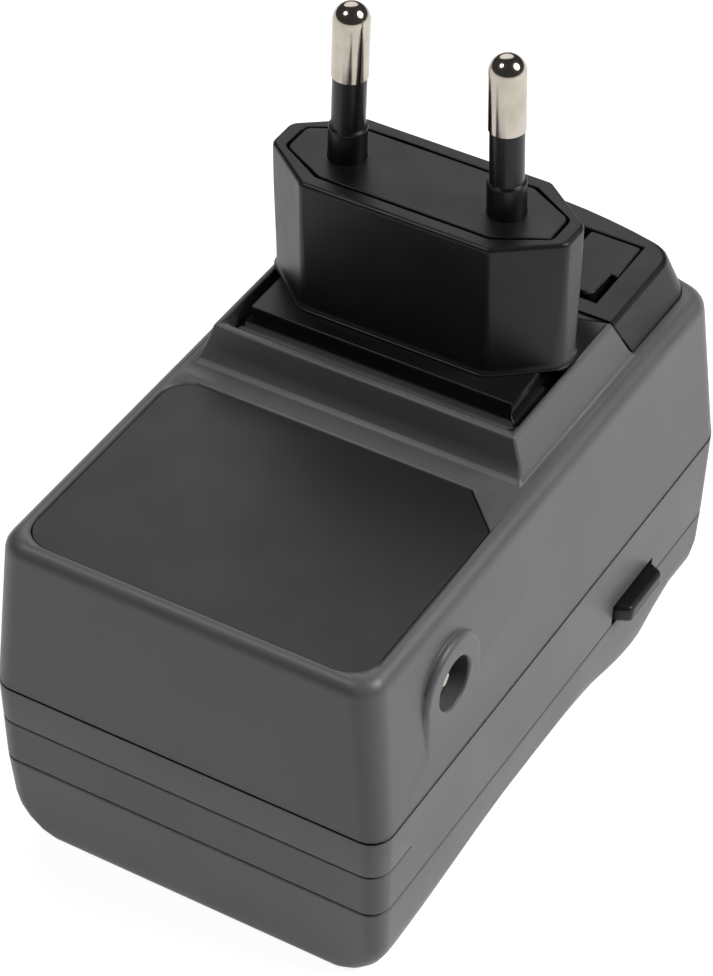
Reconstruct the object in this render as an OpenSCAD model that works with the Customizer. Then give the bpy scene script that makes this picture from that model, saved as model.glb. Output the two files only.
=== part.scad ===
// Travel charger for camera batteries, standing on its battery side with the mains plug up.
// X is the width, Y the length (+Y towards the end with the plug adapter), Z up.
// The origin is the middle of the plug's face, between the two pins.

/* [Mains plug] */
// Distance between the pins at the plug's face
pin_spacing = 19; // [18:0.1:19.2]
// Distance between the pins at their tips
pin_tip_spacing = 17.9; // [17:0.1:18]
// Diameter of the bare metal pins
pin_d = 4; // [3.9:0.05:4.1]
// How far the pins stand out of the plug's face
pin_len = 19; // [18:0.5:20]
// Length of the insulating sleeves outside the face
sleeve_len = 10.2; // [8:0.1:11.5]
// Diameter of the insulating sleeves
sleeve_d = 3.66; // [3.4:0.02:3.8]
// Diameter of the thicker collar at the foot of a sleeve
collar_d = 4.2; // [4:0.05:4.6]
// Height of that collar over the face
collar_h = 3.9; // [2:0.1:6]
// Length of the six-sided plug, from tip to tip
plug_l = 35.3; // [32:0.5:37]
// Width of the plug over its two long flats
plug_w = 13.7; // [12.5:0.1:14.5]
// Length of each long flat
plug_flat = 21.6; // [19:0.2:26]
// Length of the short flat at each tip
plug_tip = 2.6; // [1:0.1:4]
// Height of the plug over the raised pad that it stands on
plug_h = 16.5; // [14:0.5:20]
// Radius of the plug's upright edges
plug_r = 1.1; // [0.5:0.1:1.5]
// Rounding of the plug's top edge
plug_edge = 0.5; // [0.3:0.1:0.8]
// Margin between the plug's outline and the inset contact carrier
face_margin = 1.75; // [1.2:0.05:2.5]
// Width of the groove round the contact carrier
face_gap = 0.3; // [0.2:0.05:0.5]

/* [Body heights] */
// Raised pad down to the platform's rim
pad_h = 0.75; // [0.4:0.05:1.5]
// Height of the platform over the deck
platform_h = 5.05; // [4:0.05:7]
// Deck down to the first seam
rear_h = 20.35; // [18:0.05:26]
// First seam down to the decorative groove
groove_drop = 5.05; // [3:0.05:8]
// First seam down to the battery plate
frame_h = 10.85; // [9:0.05:14]
// Height of the battery plate
plate_h = 11.4; // [10:0.1:14]

/* [Body outline] */
// Width at the deck
deck_w = 44.4; // [42:0.1:48]
// Width at the first seam, where the body is widest
seam_w = 47.6; // [46.5:0.1:50]
// Width at the top of the battery plate
plate_w = 47.1; // [44:0.1:49]
// Width at the foot, before its rounding
foot_w = 46; // [44:0.1:48]
// Plug centre to the near wall, at the deck
deck_near = 48.6; // [46:0.1:52]
// Plug centre to the near wall, at the first seam
seam_near = 49.4; // [47:0.1:53]
// Plug centre to the near wall, at the battery plate
plate_near = 49.1; // [46:0.1:52]
// Plug centre to the near wall, at the foot
foot_near = 48.1; // [46:0.1:51]
// Plug centre to the middle of the far wall, at the deck
deck_far = 28.7; // [27:0.1:31]
// Plug centre to the middle of the far wall, at the first seam
seam_far = 30.9; // [29:0.1:33]
// Plug centre to the middle of the far wall, at the battery plate
plate_far = 30.2; // [28:0.1:32]
// Plug centre to the middle of the far wall, at the foot
foot_far = 29.4; // [27:0.1:31]
// Radius of the bowed far wall
bow_r = 66; // [55:1:90]
// Radius of the near upright corners at the deck
near_r = 3; // [2.5:0.1:5]
// Radius of the near upright corners at the foot
near_foot_r = 2.1; // [1.5:0.1:4]
// Radius of the far upright corners
far_r = 3.7; // [3:0.1:6]
// Rounding of the deck's edge
deck_r = 1.8; // [0.8:0.1:2]
// Rounding of the foot at the waist of both sides and at the far end
foot_r = 7; // [5:0.1:7.5]
// Rounding of the foot at the near end of both sides
foot_near_r = 5.3; // [4:0.1:7]
// Rounding of the foot where it bulges beside the latch
foot_bulge_r = 3.2; // [3:0.1:7]
// Plug centre to the middle of that bulge
foot_bulge_y = 10.5; // [8:0.5:12]
// Rounding of the foot's near edge
foot_edge = 0.5; // [0.4:0.1:1.2]
// Wall thickness of the mouldings
wall = 1.8; // [1.4:0.1:2.2]
// Gap that shows as a line at each seam
seam_gap = 0.3; // [0.2:0.05:0.4]
// Depth of the decorative groove
groove_d = 0.4; // [0.3:0.05:0.6]

/* [Platform and adapter] */
// Width of the platform's rim, outer edges
rim_w = 36.4; // [35:0.1:38]
// Width of the platform at the deck
platform_foot_w = 39.8; // [38:0.1:41]
// Plug centre to the near edge of the rim
rim_near = 13.15; // [12.5:0.1:15]
// Width of the rim's top at each side
rim_t = 0.65; // [0.5:0.05:1.2]
// Width of the rim's top at the near side
rim_near_t = 0.9; // [0.6:0.1:1.5]
// Radius of the cove between the platform's near side and the deck
cove_r = 2.6; // [1.5:0.1:3]
// Radius of the cove at the platform's two long sides
side_cove_r = 1.2; // [0.5:0.1:1.6]
// Corner radius of the tray in the platform
tray_r = 1; // [0.5:0.1:1.5]
// Plug centre to the joint between platform and adapter, at the rim
joint_y = 8.5; // [7:0.1:10]
// How far that joint runs back on its way down to the deck
joint_slant = 2.2; // [0:0.1:3]
// Plug centre to the far edge of the adapter's top
adapter_far = 25.6; // [24:0.1:27]
// Rounding of the adapter's outer edges
adapter_edge = 0.5; // [0.3:0.1:0.8]
// Width of the raised pad under the plug
pad_w = 31.6; // [30:0.1:32]
// Plug centre to the near edge of the raised pad
pad_near = 9.3; // [8.5:0.1:10]
// Width of each of the two steps at the pad's near side
step_w = 0.55; // [0.4:0.05:0.7]
// Width of each of the two steps at the pad's other two sides
step_side = 0.55; // [0.4:0.05:0.6]
// Drop from the pad to the first step
step_drop = 1.9; // [1.6:0.1:2.4]
// Further drop to the second step
step_fall = 0.55; // [0.3:0.05:0.7]
// Thickness of the tongue's thin edge in the tray
tongue_edge = 1.1; // [0.7:0.1:1.2]
// Clearance between the adapter and its seat
slide_gap = 0.2; // [0.15:0.01:0.3]
// Thickness of the adapter's tongue below the rim
tongue_t = 3.25; // [2.8:0.05:3.6]
// Width of the adapter's dovetail rail at its top
rail_top_w = 8; // [6:0.1:9]
// Width of the rail at its foot
rail_foot_w = 11; // [9.5:0.1:11.5]
// Depth of the rail below the deck
rail_d = 1.9; // [1.6:0.1:2.4]

/* [Release tab] */
// Left edge of the tab
tab_x = 8.6; // [8:0.1:9.5]
// Width of the tab's wide part
tab_w = 6.2; // [5:0.1:6.6]
// Width of the tab's narrow nose
tab_nose_w = 5.4; // [4:0.1:5.6]
// Near end of the nose
tab_near = 11.7; // [11.3:0.1:12.5]
// Where the nose meets the wide part
tab_mid = 16.2; // [15:0.1:18]
// Far end of the tab
tab_far = 22; // [21:0.1:22.4]
// Wide gap at the tab's left side and nose
tab_gap = 1; // [0.7:0.1:1.1]
// How far the tab can be pressed
tab_travel = 0.9; // [0.6:0.1:1]

/* [Rating panel] */
// Width of the bare rating panel
panel_w = 40.6; // [36:0.1:41]
// Plug centre to the panel's near edge
panel_near = 47; // [44:0.1:47]
// Plug centre to the panel's far edge
panel_far = 17.2; // [17:0.1:20]
// Corner radius of the panel
panel_r = 3.4; // [2:0.1:5]
// Cut corner of the panel
panel_cut = 4.7; // [3:0.1:6]
// Thickness of the panel
panel_t = 0.6; // [0.4:0.1:0.8]
// How far the panel lies below the deck
panel_sink = 0.2; // [0.1:0.05:0.3]

/* [Car lead socket] */
// Plug centre to the socket's axis, towards the near end
jack_near = 34.2; // [33:0.1:37]
// Deck down to the socket's axis
jack_drop = 9.7; // [8:0.1:11]
// Bore that takes the barrel plug
jack_bore_d = 5.5; // [5.4:0.05:5.7]
// Depth of that bore
jack_depth = 9; // [8:0.1:10]
// Diameter of the socket's centre pin
jack_pin_d = 2; // [1.9:0.05:2.1]
// Diameter of the hole in the wall
jack_hole_d = 6.1; // [5.9:0.1:7]
// How far the socket lies behind the pad's face
jack_sink = 1.9; // [1.2:0.1:2.5]
// Diameter of the socket's nose behind the wall
jack_nose_d = 7.6; // [7:0.1:8]
// Width and height of the socket's body
jack_body_w = 8.8; // [8.4:0.1:10]
// Length of the socket's body behind its bore
jack_back = 3; // [2:0.5:4]
// How far its centre pin ends behind the pad's face
jack_pin_sink = 1; // [0.5:0.1:1.8]
// Half the width of the arched pad round the socket
arch_r = 5.7; // [4.8:0.1:6]
// How far the pad's flat face stands out of the wall, at the socket's axis
arch_out = 0.55; // [0.3:0.05:0.8]
// Rounding of the arched pad's edge
arch_edge = 0.7; // [0.3:0.1:1]

/* [Side latch] */
// Near end of the latch button at the wall
latch_near = 2.3; // [1:0.1:3]
// Length of the button at the wall
latch_l = 8.9; // [8:0.1:11]
// How far the button stands out of the wall
latch_out = 1.85; // [1.5:0.05:2.5]
// Height of the button
latch_h = 2.2; // [2:0.1:3]
// Slope of the button's two ends, along the length
latch_slope = 0.8; // [0.4:0.1:2]
// How far the button can be pressed
latch_travel = 1.2; // [0.8:0.1:1.4]

/* [Battery bay] */
// Width of the battery bay
bay_w = 30.4; // [28:0.1:31]
// Near end of the bay, from the plug centre
bay_near = 39.5; // [37:0.1:40]
// Length of the bay
bay_l = 47; // [40:0.5:49]
// Depth of the bay
bay_d = 7; // [5:0.1:7.5]

/* [Inside] */
// Thickness of the circuit board
board_t = 1.6; // [1:0.1:2]
// First seam down to the board's top face
board_drop = 2.95; // [2.5:0.05:3.5]
// Side wall to the housing screws, at the battery plate
screw_side = 5.55; // [5.25:0.05:6.7]
// Near wall to the near pair of screws
screw_front = 4.8; // [4.6:0.1:5.7]
// Middle of the far wall to the far pair of screws
screw_back = 8.7; // [8.3:0.1:10.3]
// Diameter of the screws' thread
screw_d = 2.6; // [2.4:0.1:2.8]
// Diameter of the screws' heads
screw_head_d = 4.8; // [4.4:0.1:5]
// Height of the screws' heads
screw_head_h = 2; // [1.6:0.1:2.2]
// How far the screws reach over the board
screw_grip = 9; // [6:0.5:12]
// Diameter of the screw posts
post_d = 6.2; // [5.6:0.1:6.6]
// Thickness of the frame's floor
floor_t = 1.6; // [1.2:0.1:2]
// Diameter of the input capacitor
input_cap_d = 10; // [8:0.5:10.5]
// Height of the input capacitor
input_cap_h = 16; // [12:0.5:17]
// Diameter of the output capacitor
output_cap_d = 6.3; // [5:0.1:8]
// Height of the output capacitor
output_cap_h = 11; // [9:0.5:14]
// Width of the transformer's core
core_l = 16.6; // [14:0.2:18]
// Thickness of the transformer's core
core_w = 7; // [5:0.5:8]
// Height of the transformer's core
core_h = 13.4; // [12:0.2:14]
// Length of the control chip
chip_l = 9.6; // [9.2:0.1:12]
// Width of the control chip
chip_w = 6.4; // [5:0.1:7]
// Diameter of the charge lamp and of its clear rod
lamp_d = 3; // [2:0.1:3.4]

/* [Hidden] */
$fn = 48;

pad_z = -plug_h;
rim_z = pad_z - pad_h;
deck_z = rim_z - platform_h;
seam_z = deck_z - rear_h;
groove_z = seam_z - groove_drop;
plate_z = seam_z - frame_h;
foot_z = plate_z - plate_h;

// Thin slice of a lofted shell
skin = 0.01;
// Overlap that makes a cut run clean through
over = 1;

shell_grey = [0.23, 0.23, 0.24];
plug_black = [0.07, 0.07, 0.07];
nickel = [0.80, 0.76, 0.68];
brass = [0.80, 0.62, 0.28];
steel = [0.62, 0.63, 0.65];

// Body size at a height: half width, near wall and far wall
function half_at(z) = lookup(z, [[foot_z, foot_w / 2], [plate_z, plate_w / 2],
                                 [seam_z, seam_w / 2], [deck_z, deck_w / 2]]);
function near_at(z) = lookup(z, [[foot_z, foot_near], [plate_z, plate_near],
                                 [seam_z, seam_near], [deck_z, deck_near]]);
function far_at(z) = lookup(z, [[foot_z, foot_far], [plate_z, plate_far],
                                [seam_z, seam_far], [deck_z, deck_far]]);
function near_r_at(z) = lookup(z, [[foot_z, near_foot_r], [deck_z, near_r]]);

// Points of an arc from angle a to angle b
function arc(c, r, a, b, n) = [for (i = [0:n]) let (t = a + (b - a) * i / n)
                               [c[0] + r * cos(t), c[1] + r * sin(t)]];

// Plan outline: straight near end, bowed far end, rounded upright corners
function outline(w, near, far, rn, rf, bow) =
    let (tip = asin((w - rf) / (bow - rf)),
         rf_y = far - bow + (bow - rf) * cos(tip))
    concat(arc([w - rf, rf_y], rf, 0, 90 - tip, 6),
           arc([0, far - bow], bow, 90 - tip, 90 + tip, 10),
           arc([rf - w, rf_y], rf, 90 + tip, 180, 6),
           arc([rn - w, rn - near], rn, 180, 270, 6),
           arc([w - rn, rn - near], rn, 270, 360, 6));

// One slice of the body, drawn in by side at both sides and the far end and by front at the near end
module slice(z, side = 0, front = 0) {
    translate([0, 0, z - skin])
        linear_extrude(skin)
            polygon(outline(half_at(z) - side, near_at(z) - front, far_at(z) - side,
                            max(near_r_at(z) - front, 0.4), max(far_r - side, 0.6), bow_r - side));
}

// Outer form of the rear shell with its rounded deck edge
module rear_form() {
    hull() {
        slice(seam_z + seam_gap / 2 + skin);
        for (a = [0:18:90])
            slice(deck_z - deck_r + deck_r * sin(a), deck_r * (1 - cos(a)), deck_r * (1 - cos(a)));
    }
}

// Straight-sided stretch of the body between two heights
module band_form(low, high, inset = 0) {
    hull() {
        slice(low + skin, inset, inset);
        slice(high, inset, inset);
    }
}

// Section of the platform across the width, with a cove at the foot of each side
module platform_section() {
    steep = atan2(platform_h, (platform_foot_w - rim_w) / 2);
    cove_x = platform_foot_w / 2 + side_cove_r * tan(steep / 2);
    cove = arc([cove_x, deck_z + side_cove_r], side_cove_r, 270, 270 - steep, 6);
    polygon(concat([[-cove_x, deck_z - skin], [cove_x, deck_z - skin]], cove,
                   [[rim_w / 2, rim_z], [-rim_w / 2, rim_z]],
                   [for (i = [len(cove) - 1:-1:0]) [-cove[i][0], cove[i][1]]]));
}

// A profile in Y and Z, carried across the width from x0 to x1
module across(x0, x1) {
    translate([x0, 0, 0])
        rotate([90, 0, 90])
            linear_extrude(x1 - x0)
                children();
}

// A profile in X and Z, carried along the length from y0 to y1
module along(y0, y1) {
    translate([0, y1, 0])
        rotate([90, 0, 0])
            linear_extrude(y1 - y0)
                children();
}

module block(x0, x1, y0, y1, z0, z1) {
    translate([x0, y0, z0])
        cube([x1 - x0, y1 - y0, z1 - z0]);
}

// Plan plate with four corner radii
module round_plate(x0, x1, y0, y1, z0, z1, r) {
    translate([0, 0, z0])
        linear_extrude(z1 - z0)
            polygon(concat(arc([x1 - r, y1 - r], r, 0, 90, 6), arc([x0 + r, y1 - r], r, 90, 180, 6),
                           arc([x0 + r, y0 + r], r, 180, 270, 6), arc([x1 - r, y0 + r], r, 270, 360, 6)));
}

// Bent metal strip of thickness t along a list of points
module strip(points, t) {
    for (i = [0:len(points) - 2]) {
        a = points[i];
        b = points[i + 1];
        run = norm(b - a);
        translate(a)
            rotate(atan2(b[1] - a[1], b[0] - a[0]))
                translate([0, -t / 2])
                    square([run, t]);
        translate(b)
            circle(d = t, $fn = 24);
    }
}

// Heights of the adapter's tongue and of its seat
tongue_top = rim_z - 0.25;
tongue_foot = rim_z - tongue_t;
tray_z = tongue_foot - slide_gap;
step_z = pad_z - step_drop;
step2_z = step_z - step_fall;
edge_z = tongue_foot + tongue_edge;
tray_half = rim_w / 2 - rim_t;
tray_near = rim_near - rim_near_t;
tongue_half = tray_half - slide_gap;
tongue_near = tray_near - slide_gap;
rail_foot = deck_z - rail_d;
slot_foot = rail_foot - slide_gap;
block_t = 1.8;
inner_roof = deck_z - 2;
rail_near = 9;
rail_far = 26;

// Profile of the dovetail, grown by a clearance
module dovetail(top, foot, grow) {
    polygon([[-rail_top_w / 2 - grow, top], [rail_top_w / 2 + grow, top],
             [rail_foot_w / 2 + grow, foot], [-rail_foot_w / 2 - grow, foot]]);
}

// Profile of the platform along the length: rim, wall, cove and slanted joint
module platform_profile() {
    lean = 0.35;
    cove_z = deck_z + cove_r;
    polygon(concat(
        [[joint_y + joint_slant, deck_z - over], [joint_y + joint_slant, deck_z], [joint_y, rim_z],
         [-rim_near, rim_z]],
        arc([-rim_near - lean - cove_r, cove_z], cove_r, 0, -90, 8),
        [[-rim_near - lean - cove_r, deck_z - over]]));
}

// Springs' and contacts' places
contact_x = pin_spacing / 2 + (pin_spacing - pin_tip_spacing) / 2 * 14 / pin_len;
contact_hole = 1.3;
contact_l = 3;
arch_x = half_at(deck_z - jack_drop) + arch_out;
notch_near = 11.4;
notch_far = 14.4;
jack_z = deck_z - jack_drop;
post_r = post_d / 2;
board_z = seam_z - board_drop;
board_foot = board_z - board_t;
frame_top = seam_z - seam_gap / 2;
frame_foot = plate_z + seam_gap / 2;
frame_floor = frame_foot + floor_t;
plate_top = plate_z - seam_gap / 2;
fit_gap = 0.08;
lip_h = 2;
lip_t = 1;
lip_gap = 0.15;
arch_depth = arch_out + wall / 2;
// Clearance round a screw's shank, over its diameter
screw_play = 0.6;
// Room round a screw's head
head_play = 0.4;

// Every housing screw's place
screw_x = min(seam_w, plate_w) / 2 - screw_side;
screw_near = min(seam_near, plate_near) - screw_front;
screw_far = min(seam_far, plate_far) - screw_back;
screw_points = [[-screw_x, -screw_near], [screw_x, -screw_near],
                [-screw_x, screw_far], [screw_x, screw_far]];

// Outline of the panel, three round corners and one cut one
module panel_outline(grow) {
    w = panel_w / 2 + grow;
    near = panel_near + grow;
    far = -panel_far + grow;
    r = panel_r + grow;
    cut = panel_cut + grow * (sqrt(2) - 1);
    polygon(concat(arc([r - w, far - r], r, 90, 180, 8),
                   arc([r - w, r - near], r, 180, 270, 8),
                   arc([w - r, r - near], r, 270, 360, 8),
                   [[w, far - cut], [w - cut, far]]));
}

// Half the arched pad's section with its rounded edge, from the middle out
module arch_section(depth) {
    polygon(concat([[0, -depth], [arch_r, -depth]],
                   arc([arch_r - arch_edge, -arch_edge], arch_edge, 0, 90, 5), [[0, 0]]));
}

// Arched pad round the car lead socket, flush with the drafted wall at its foot
module arch(depth) {
    translate([arch_x, -jack_near, jack_z])
        rotate([0, 90, 0])
            union() {
                rotate_extrude()
                    arch_section(depth);
                for (s = [0, 1])
                    mirror([0, s, 0])
                        rotate([90, 0, 90])
                            linear_extrude(rear_h - jack_drop - seam_gap)
                                arch_section(depth);
            }
}

module rear_housing() {
    color(shell_grey)
        difference() {
            union() {
                difference() {
                    rear_form();
                    band_form(seam_z - over, inner_roof, wall);
                }
                intersection() {
                    along(-rim_near - cove_r - over, joint_y + joint_slant) platform_section();
                    across(-platform_foot_w, platform_foot_w) platform_profile();
                }
                arch(arch_depth);
                // thick stretch of roof that holds the rail's slot and the catch's notch
                block(-rail_foot_w / 2 - 2.4, tab_x + tab_w + 1.6, -rail_near - 2.4, deck_far - wall,
                      slot_foot - block_t, inner_roof + skin);
                for (p = screw_points)
                    translate([p[0], p[1], board_z + 0.1])
                        cylinder(r = post_r, h = inner_roof - board_z);
            }
            // tray that the adapter's tongue lies in
            round_plate(-tray_half, tray_half, -tray_near, deck_far, tray_z, rim_z + over, tray_r);
            // slot of the dovetail rail, open at the far end
            along(-rail_near - slide_gap, seam_far + over)
                dovetail(tray_z + skin, slot_foot, slide_gap);
            // notch for the adapter's catch
            block(tab_x, tab_x + 5, notch_near, notch_far, deck_z - 1.8, deck_z + over);
            // recess for the rating panel
            translate([0, 0, deck_z - panel_sink - panel_t])
                linear_extrude(panel_t + over)
                    panel_outline(0.15);
            // holes for the mains contacts
            for (s = [-1, 1])
                block(s * contact_x - contact_hole, s * contact_x + contact_hole, -2.2, 2.2,
                      slot_foot - block_t - over, rim_z);
            // hole for the car lead socket
            translate([arch_x - 3 * wall, -jack_near, jack_z])
                rotate([0, 90, 0])
                    union() {
                        cylinder(d = jack_hole_d, h = 3 * wall + over);
                        cylinder(d = jack_nose_d + 0.2, h = 3 * wall - jack_sink);
                    }
            for (p = screw_points)
                translate([p[0], p[1], board_z])
                    cylinder(d = screw_d + 2 * fit_gap, h = screw_grip + 2);
        }
}

// Height range and inner end of the latch's channel in the frame
latch_foot = frame_foot + 0.2;
latch_top = latch_foot + latch_h;
latch_far = latch_near + latch_l;
latch_wall = half_at((latch_foot + latch_top) / 2);
latch_in = latch_wall - 9.4;
channel_in = latch_wall - 13.9;
ear_x = latch_wall - 6.1;
ear_t = 1.4;
ear_w = 1;
latch_gap = 0.3;

// Pogo pins between board and battery plate
pogo_x = [-5, 0, 5];
pogo_near = bay_near + 2.7;
pogo_d = 1.8;
lamp = [-(pogo_x[2] + pogo_d / 2 + 0.5 + screw_x - post_r) / 2, -bay_near - 5.1];
peg_x = bay_w / 2 - 1.2;
peg_near = bay_near - 6.5;
peg_far = bay_l - bay_near + 9.5;
peg_points = [[-peg_x, -peg_near], [peg_x, -peg_near], [-peg_x, peg_far], [peg_x, peg_far]];
peg_r = 1.5;

module front_frame() {
    color(shell_grey)
        difference() {
            union() {
                difference() {
                    band_form(frame_foot, frame_top);
                    band_form(frame_floor, seam_z + over, wall);
                }
                // lip that centres the rear shell
                difference() {
                    band_form(frame_top - 3, frame_top + lip_h, wall + lip_gap);
                    band_form(frame_top - 3 - over, frame_top + lip_h + over, wall + lip_gap + lip_t);
                }
                // sockets under the lip tie it to the wall
                difference() {
                    band_form(frame_top - 3, frame_top - 0.5, wall - skin);
                    band_form(frame_top - 3 - over, frame_top + over, wall + lip_gap + skin);
                }
                for (p = screw_points)
                    translate([p[0], p[1], frame_foot])
                        cylinder(r = post_r, h = board_foot - frame_foot);
                // box round the latch's channel
                block(channel_in - 1.4, latch_wall - wall + skin, latch_near - ear_w - 2,
                      latch_far + ear_w + 2, frame_foot, latch_top + latch_gap + 1.3);
            }
            // decorative groove round the near end, running out behind the corners
            difference() {
                block(-seam_w, seam_w, -seam_near - over, -seam_near + 6.5,
                      groove_z - seam_gap / 2, groove_z + seam_gap / 2);
                band_form(groove_z - 1, groove_z + 1, groove_d);
            }
            // channel of the latch button, and its wider inner stretch
            block(channel_in, seam_w, latch_near - latch_gap, latch_far + latch_gap,
                  frame_foot - over, latch_top + latch_gap);
            block(channel_in, ear_x + 0.2, latch_near - ear_w - latch_gap,
                  latch_far + ear_w + latch_gap, frame_foot - over, latch_top + latch_gap);
            for (p = screw_points)
                translate([p[0], p[1], frame_foot - over]) {
                    cylinder(d = screw_d + screw_play, h = frame_h);
                    cylinder(d = screw_head_d + head_play, h = over + screw_head_h + head_play);
                }
            // room in the lip for the rear shell's posts
            for (p = screw_points)
                translate([p[0], p[1], board_foot])
                    cylinder(r = post_r + 0.3, h = frame_h);
            for (x = pogo_x)
                translate([x, -pogo_near, frame_foot - over])
                    cylinder(d = pogo_d + 2 * fit_gap, h = floor_t + 2 * over);
            translate([lamp[0], lamp[1], frame_foot - over])
                cylinder(d = lamp_d + 2 * fit_gap, h = floor_t + 2 * over);
            for (p = peg_points)
                translate([p[0], p[1], frame_foot - over])
                    cylinder(r = peg_r + fit_gap, h = floor_t + 2 * over);
        }
}

hook_x = latch_in - 0.5;
hook_near = latch_near + latch_l / 2 - 1.5;
hook_far = hook_near + 3;

// Rounding of the foot at a place along its sides
function foot_r_at(y) = lookup(y, [[-foot_near, foot_near_r], [-foot_near * 0.6, foot_r - 0.4],
                                   [-foot_near * 0.4, foot_r], [foot_bulge_y - 20, foot_r],
                                   [foot_bulge_y - 6, (foot_r + foot_bulge_r) / 2 - 0.3],
                                   [foot_bulge_y, foot_bulge_r],
                                   [foot_bulge_y + 4, (foot_r + foot_bulge_r) / 2 - 0.6],
                                   [foot_bulge_y + 12, foot_r]]);

// Ring of the foot at angle a round its edge
function foot_ring(a) =
    let (k = foot_z + foot_r,
         rim = outline(half_at(k), near_at(k), far_at(k), near_foot_r, far_r, bow_r))
    [for (i = [0:len(rim) - 1])
        let (r = foot_r_at(rim[i][1]), z = foot_z + r * (1 - sin(a)), side = r * (1 - cos(a)),
             front = foot_edge * (1 - sqrt(1 - pow(sin(a), 12))),
             p = outline(half_at(z) - side, near_at(z) - front, far_at(z) - side,
                         max(near_r_at(z) - front, 0.4), max(far_r - side, 0.6), bow_r - side)[i])
        [p[0], p[1], z]];

// Outer form of the battery plate, ring over ring from its top to its foot
module foot_form() {
    top = [for (p = outline(half_at(plate_top), near_at(plate_top), far_at(plate_top),
                            near_r_at(plate_top), far_r, bow_r))
           [p[0], p[1], plate_top]];
    rings = concat([top], [for (a = [0, 18, 36, 54, 70, 82, 90]) foot_ring(a)]);
    n = len(top);
    walls = [for (k = [0:len(rings) - 2]) for (i = [0:n - 1])
             let (j = (i + 1) % n)
             for (t = [[k * n + i, k * n + j, (k + 1) * n + i],
                       [k * n + j, (k + 1) * n + j, (k + 1) * n + i]])
             t];
    polyhedron(points = [for (ring = rings) for (p = ring) p],
               faces = concat([[for (i = [n - 1:-1:0]) i]], walls,
                              [[for (i = [0:n - 1]) (len(rings) - 1) * n + i]]));
}

module battery_plate() {
    bay_roof = foot_z + bay_d;
    pocket_z = bay_roof + 2;
    color(shell_grey)
        difference() {
            union() {
                difference() {
                    foot_form();
                    // hollow above the bay
                    round_plate(-bay_w / 2 - 2, bay_w / 2 + 2, -bay_near + 2.5, bay_l - bay_near + 8,
                                pocket_z, plate_top + over, 2);
                }
                // pegs that centre the plate on the frame, with their feet in the hollow
                for (p = peg_points)
                    translate([p[0], p[1], pocket_z - skin]) {
                        cylinder(r = peg_r, h = frame_floor - 0.3 - pocket_z);
                        cylinder(r = peg_r + 1, h = plate_top - pocket_z);
                    }
                // block that the latch's hook holds
                block(hook_x - 1.4, hook_x + 3.4, hook_near - 1.6, hook_far + 1.6,
                      pocket_z - skin, plate_top);
            }
            // bay, open towards the battery side
            round_plate(-bay_w / 2, bay_w / 2, -bay_near, bay_l - bay_near,
                        foot_z - over, bay_roof, 1.5);
            // way in for the hook, and the undercut that it grips
            block(hook_x - 0.7, hook_x + 0.5, hook_near - 0.5, hook_far + 0.5,
                  pocket_z + 0.3, plate_top + over);
            block(hook_x - 0.7, hook_x + 1.4, hook_near - 0.5, hook_far + 0.5,
                  pocket_z + 0.3, plate_top - 0.9);
            // slots of the battery contacts
            for (x = pogo_x)
                block(x - 1.3, x + 1.3, -pogo_near - 1.6, -bay_near + 0.3, foot_z + 1.6, plate_top + over);
            translate([lamp[0], lamp[1], foot_z - over])
                cylinder(d = lamp_d + 2 * fit_gap, h = plate_h + 2 * over);
        }
}

module rating_panel() {
    color([0.10, 0.10, 0.105])
        translate([0, 0, deck_z - panel_sink - panel_t])
            linear_extrude(panel_t)
                panel_outline(0);
}

// Six-sided plan of the plug, drawn as its eight rounded corners
function plug_corners(inset) =
    let (a = plug_l / 2 - plug_r - inset, b = plug_w / 2 - plug_r - inset,
         c = plug_flat / 2 - inset * 0.45, d = plug_tip / 2)
    [[c, b], [a, d], [a, -d], [c, -b], [-c, -b], [-a, -d], [-a, d], [-c, b]];

module plug_slice(z, inset, h = skin) {
    for (p = plug_corners(inset))
        translate([p[0], p[1], z])
            cylinder(r = plug_r, h = h, $fn = 32);
}

module plug_form(low, high, inset) {
    hull() plug_slice(low, inset, high - low);
}

module release_pocket(low, high, grow) {
    block(tab_x - tab_gap - 0.9 - grow, tab_x + tab_w + 0.9 + grow,
          tab_near - tab_gap - 0.5 - grow, tab_far + 0.8 + grow, low, high);
}

tab_roof = rim_z - 1.6;

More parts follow.
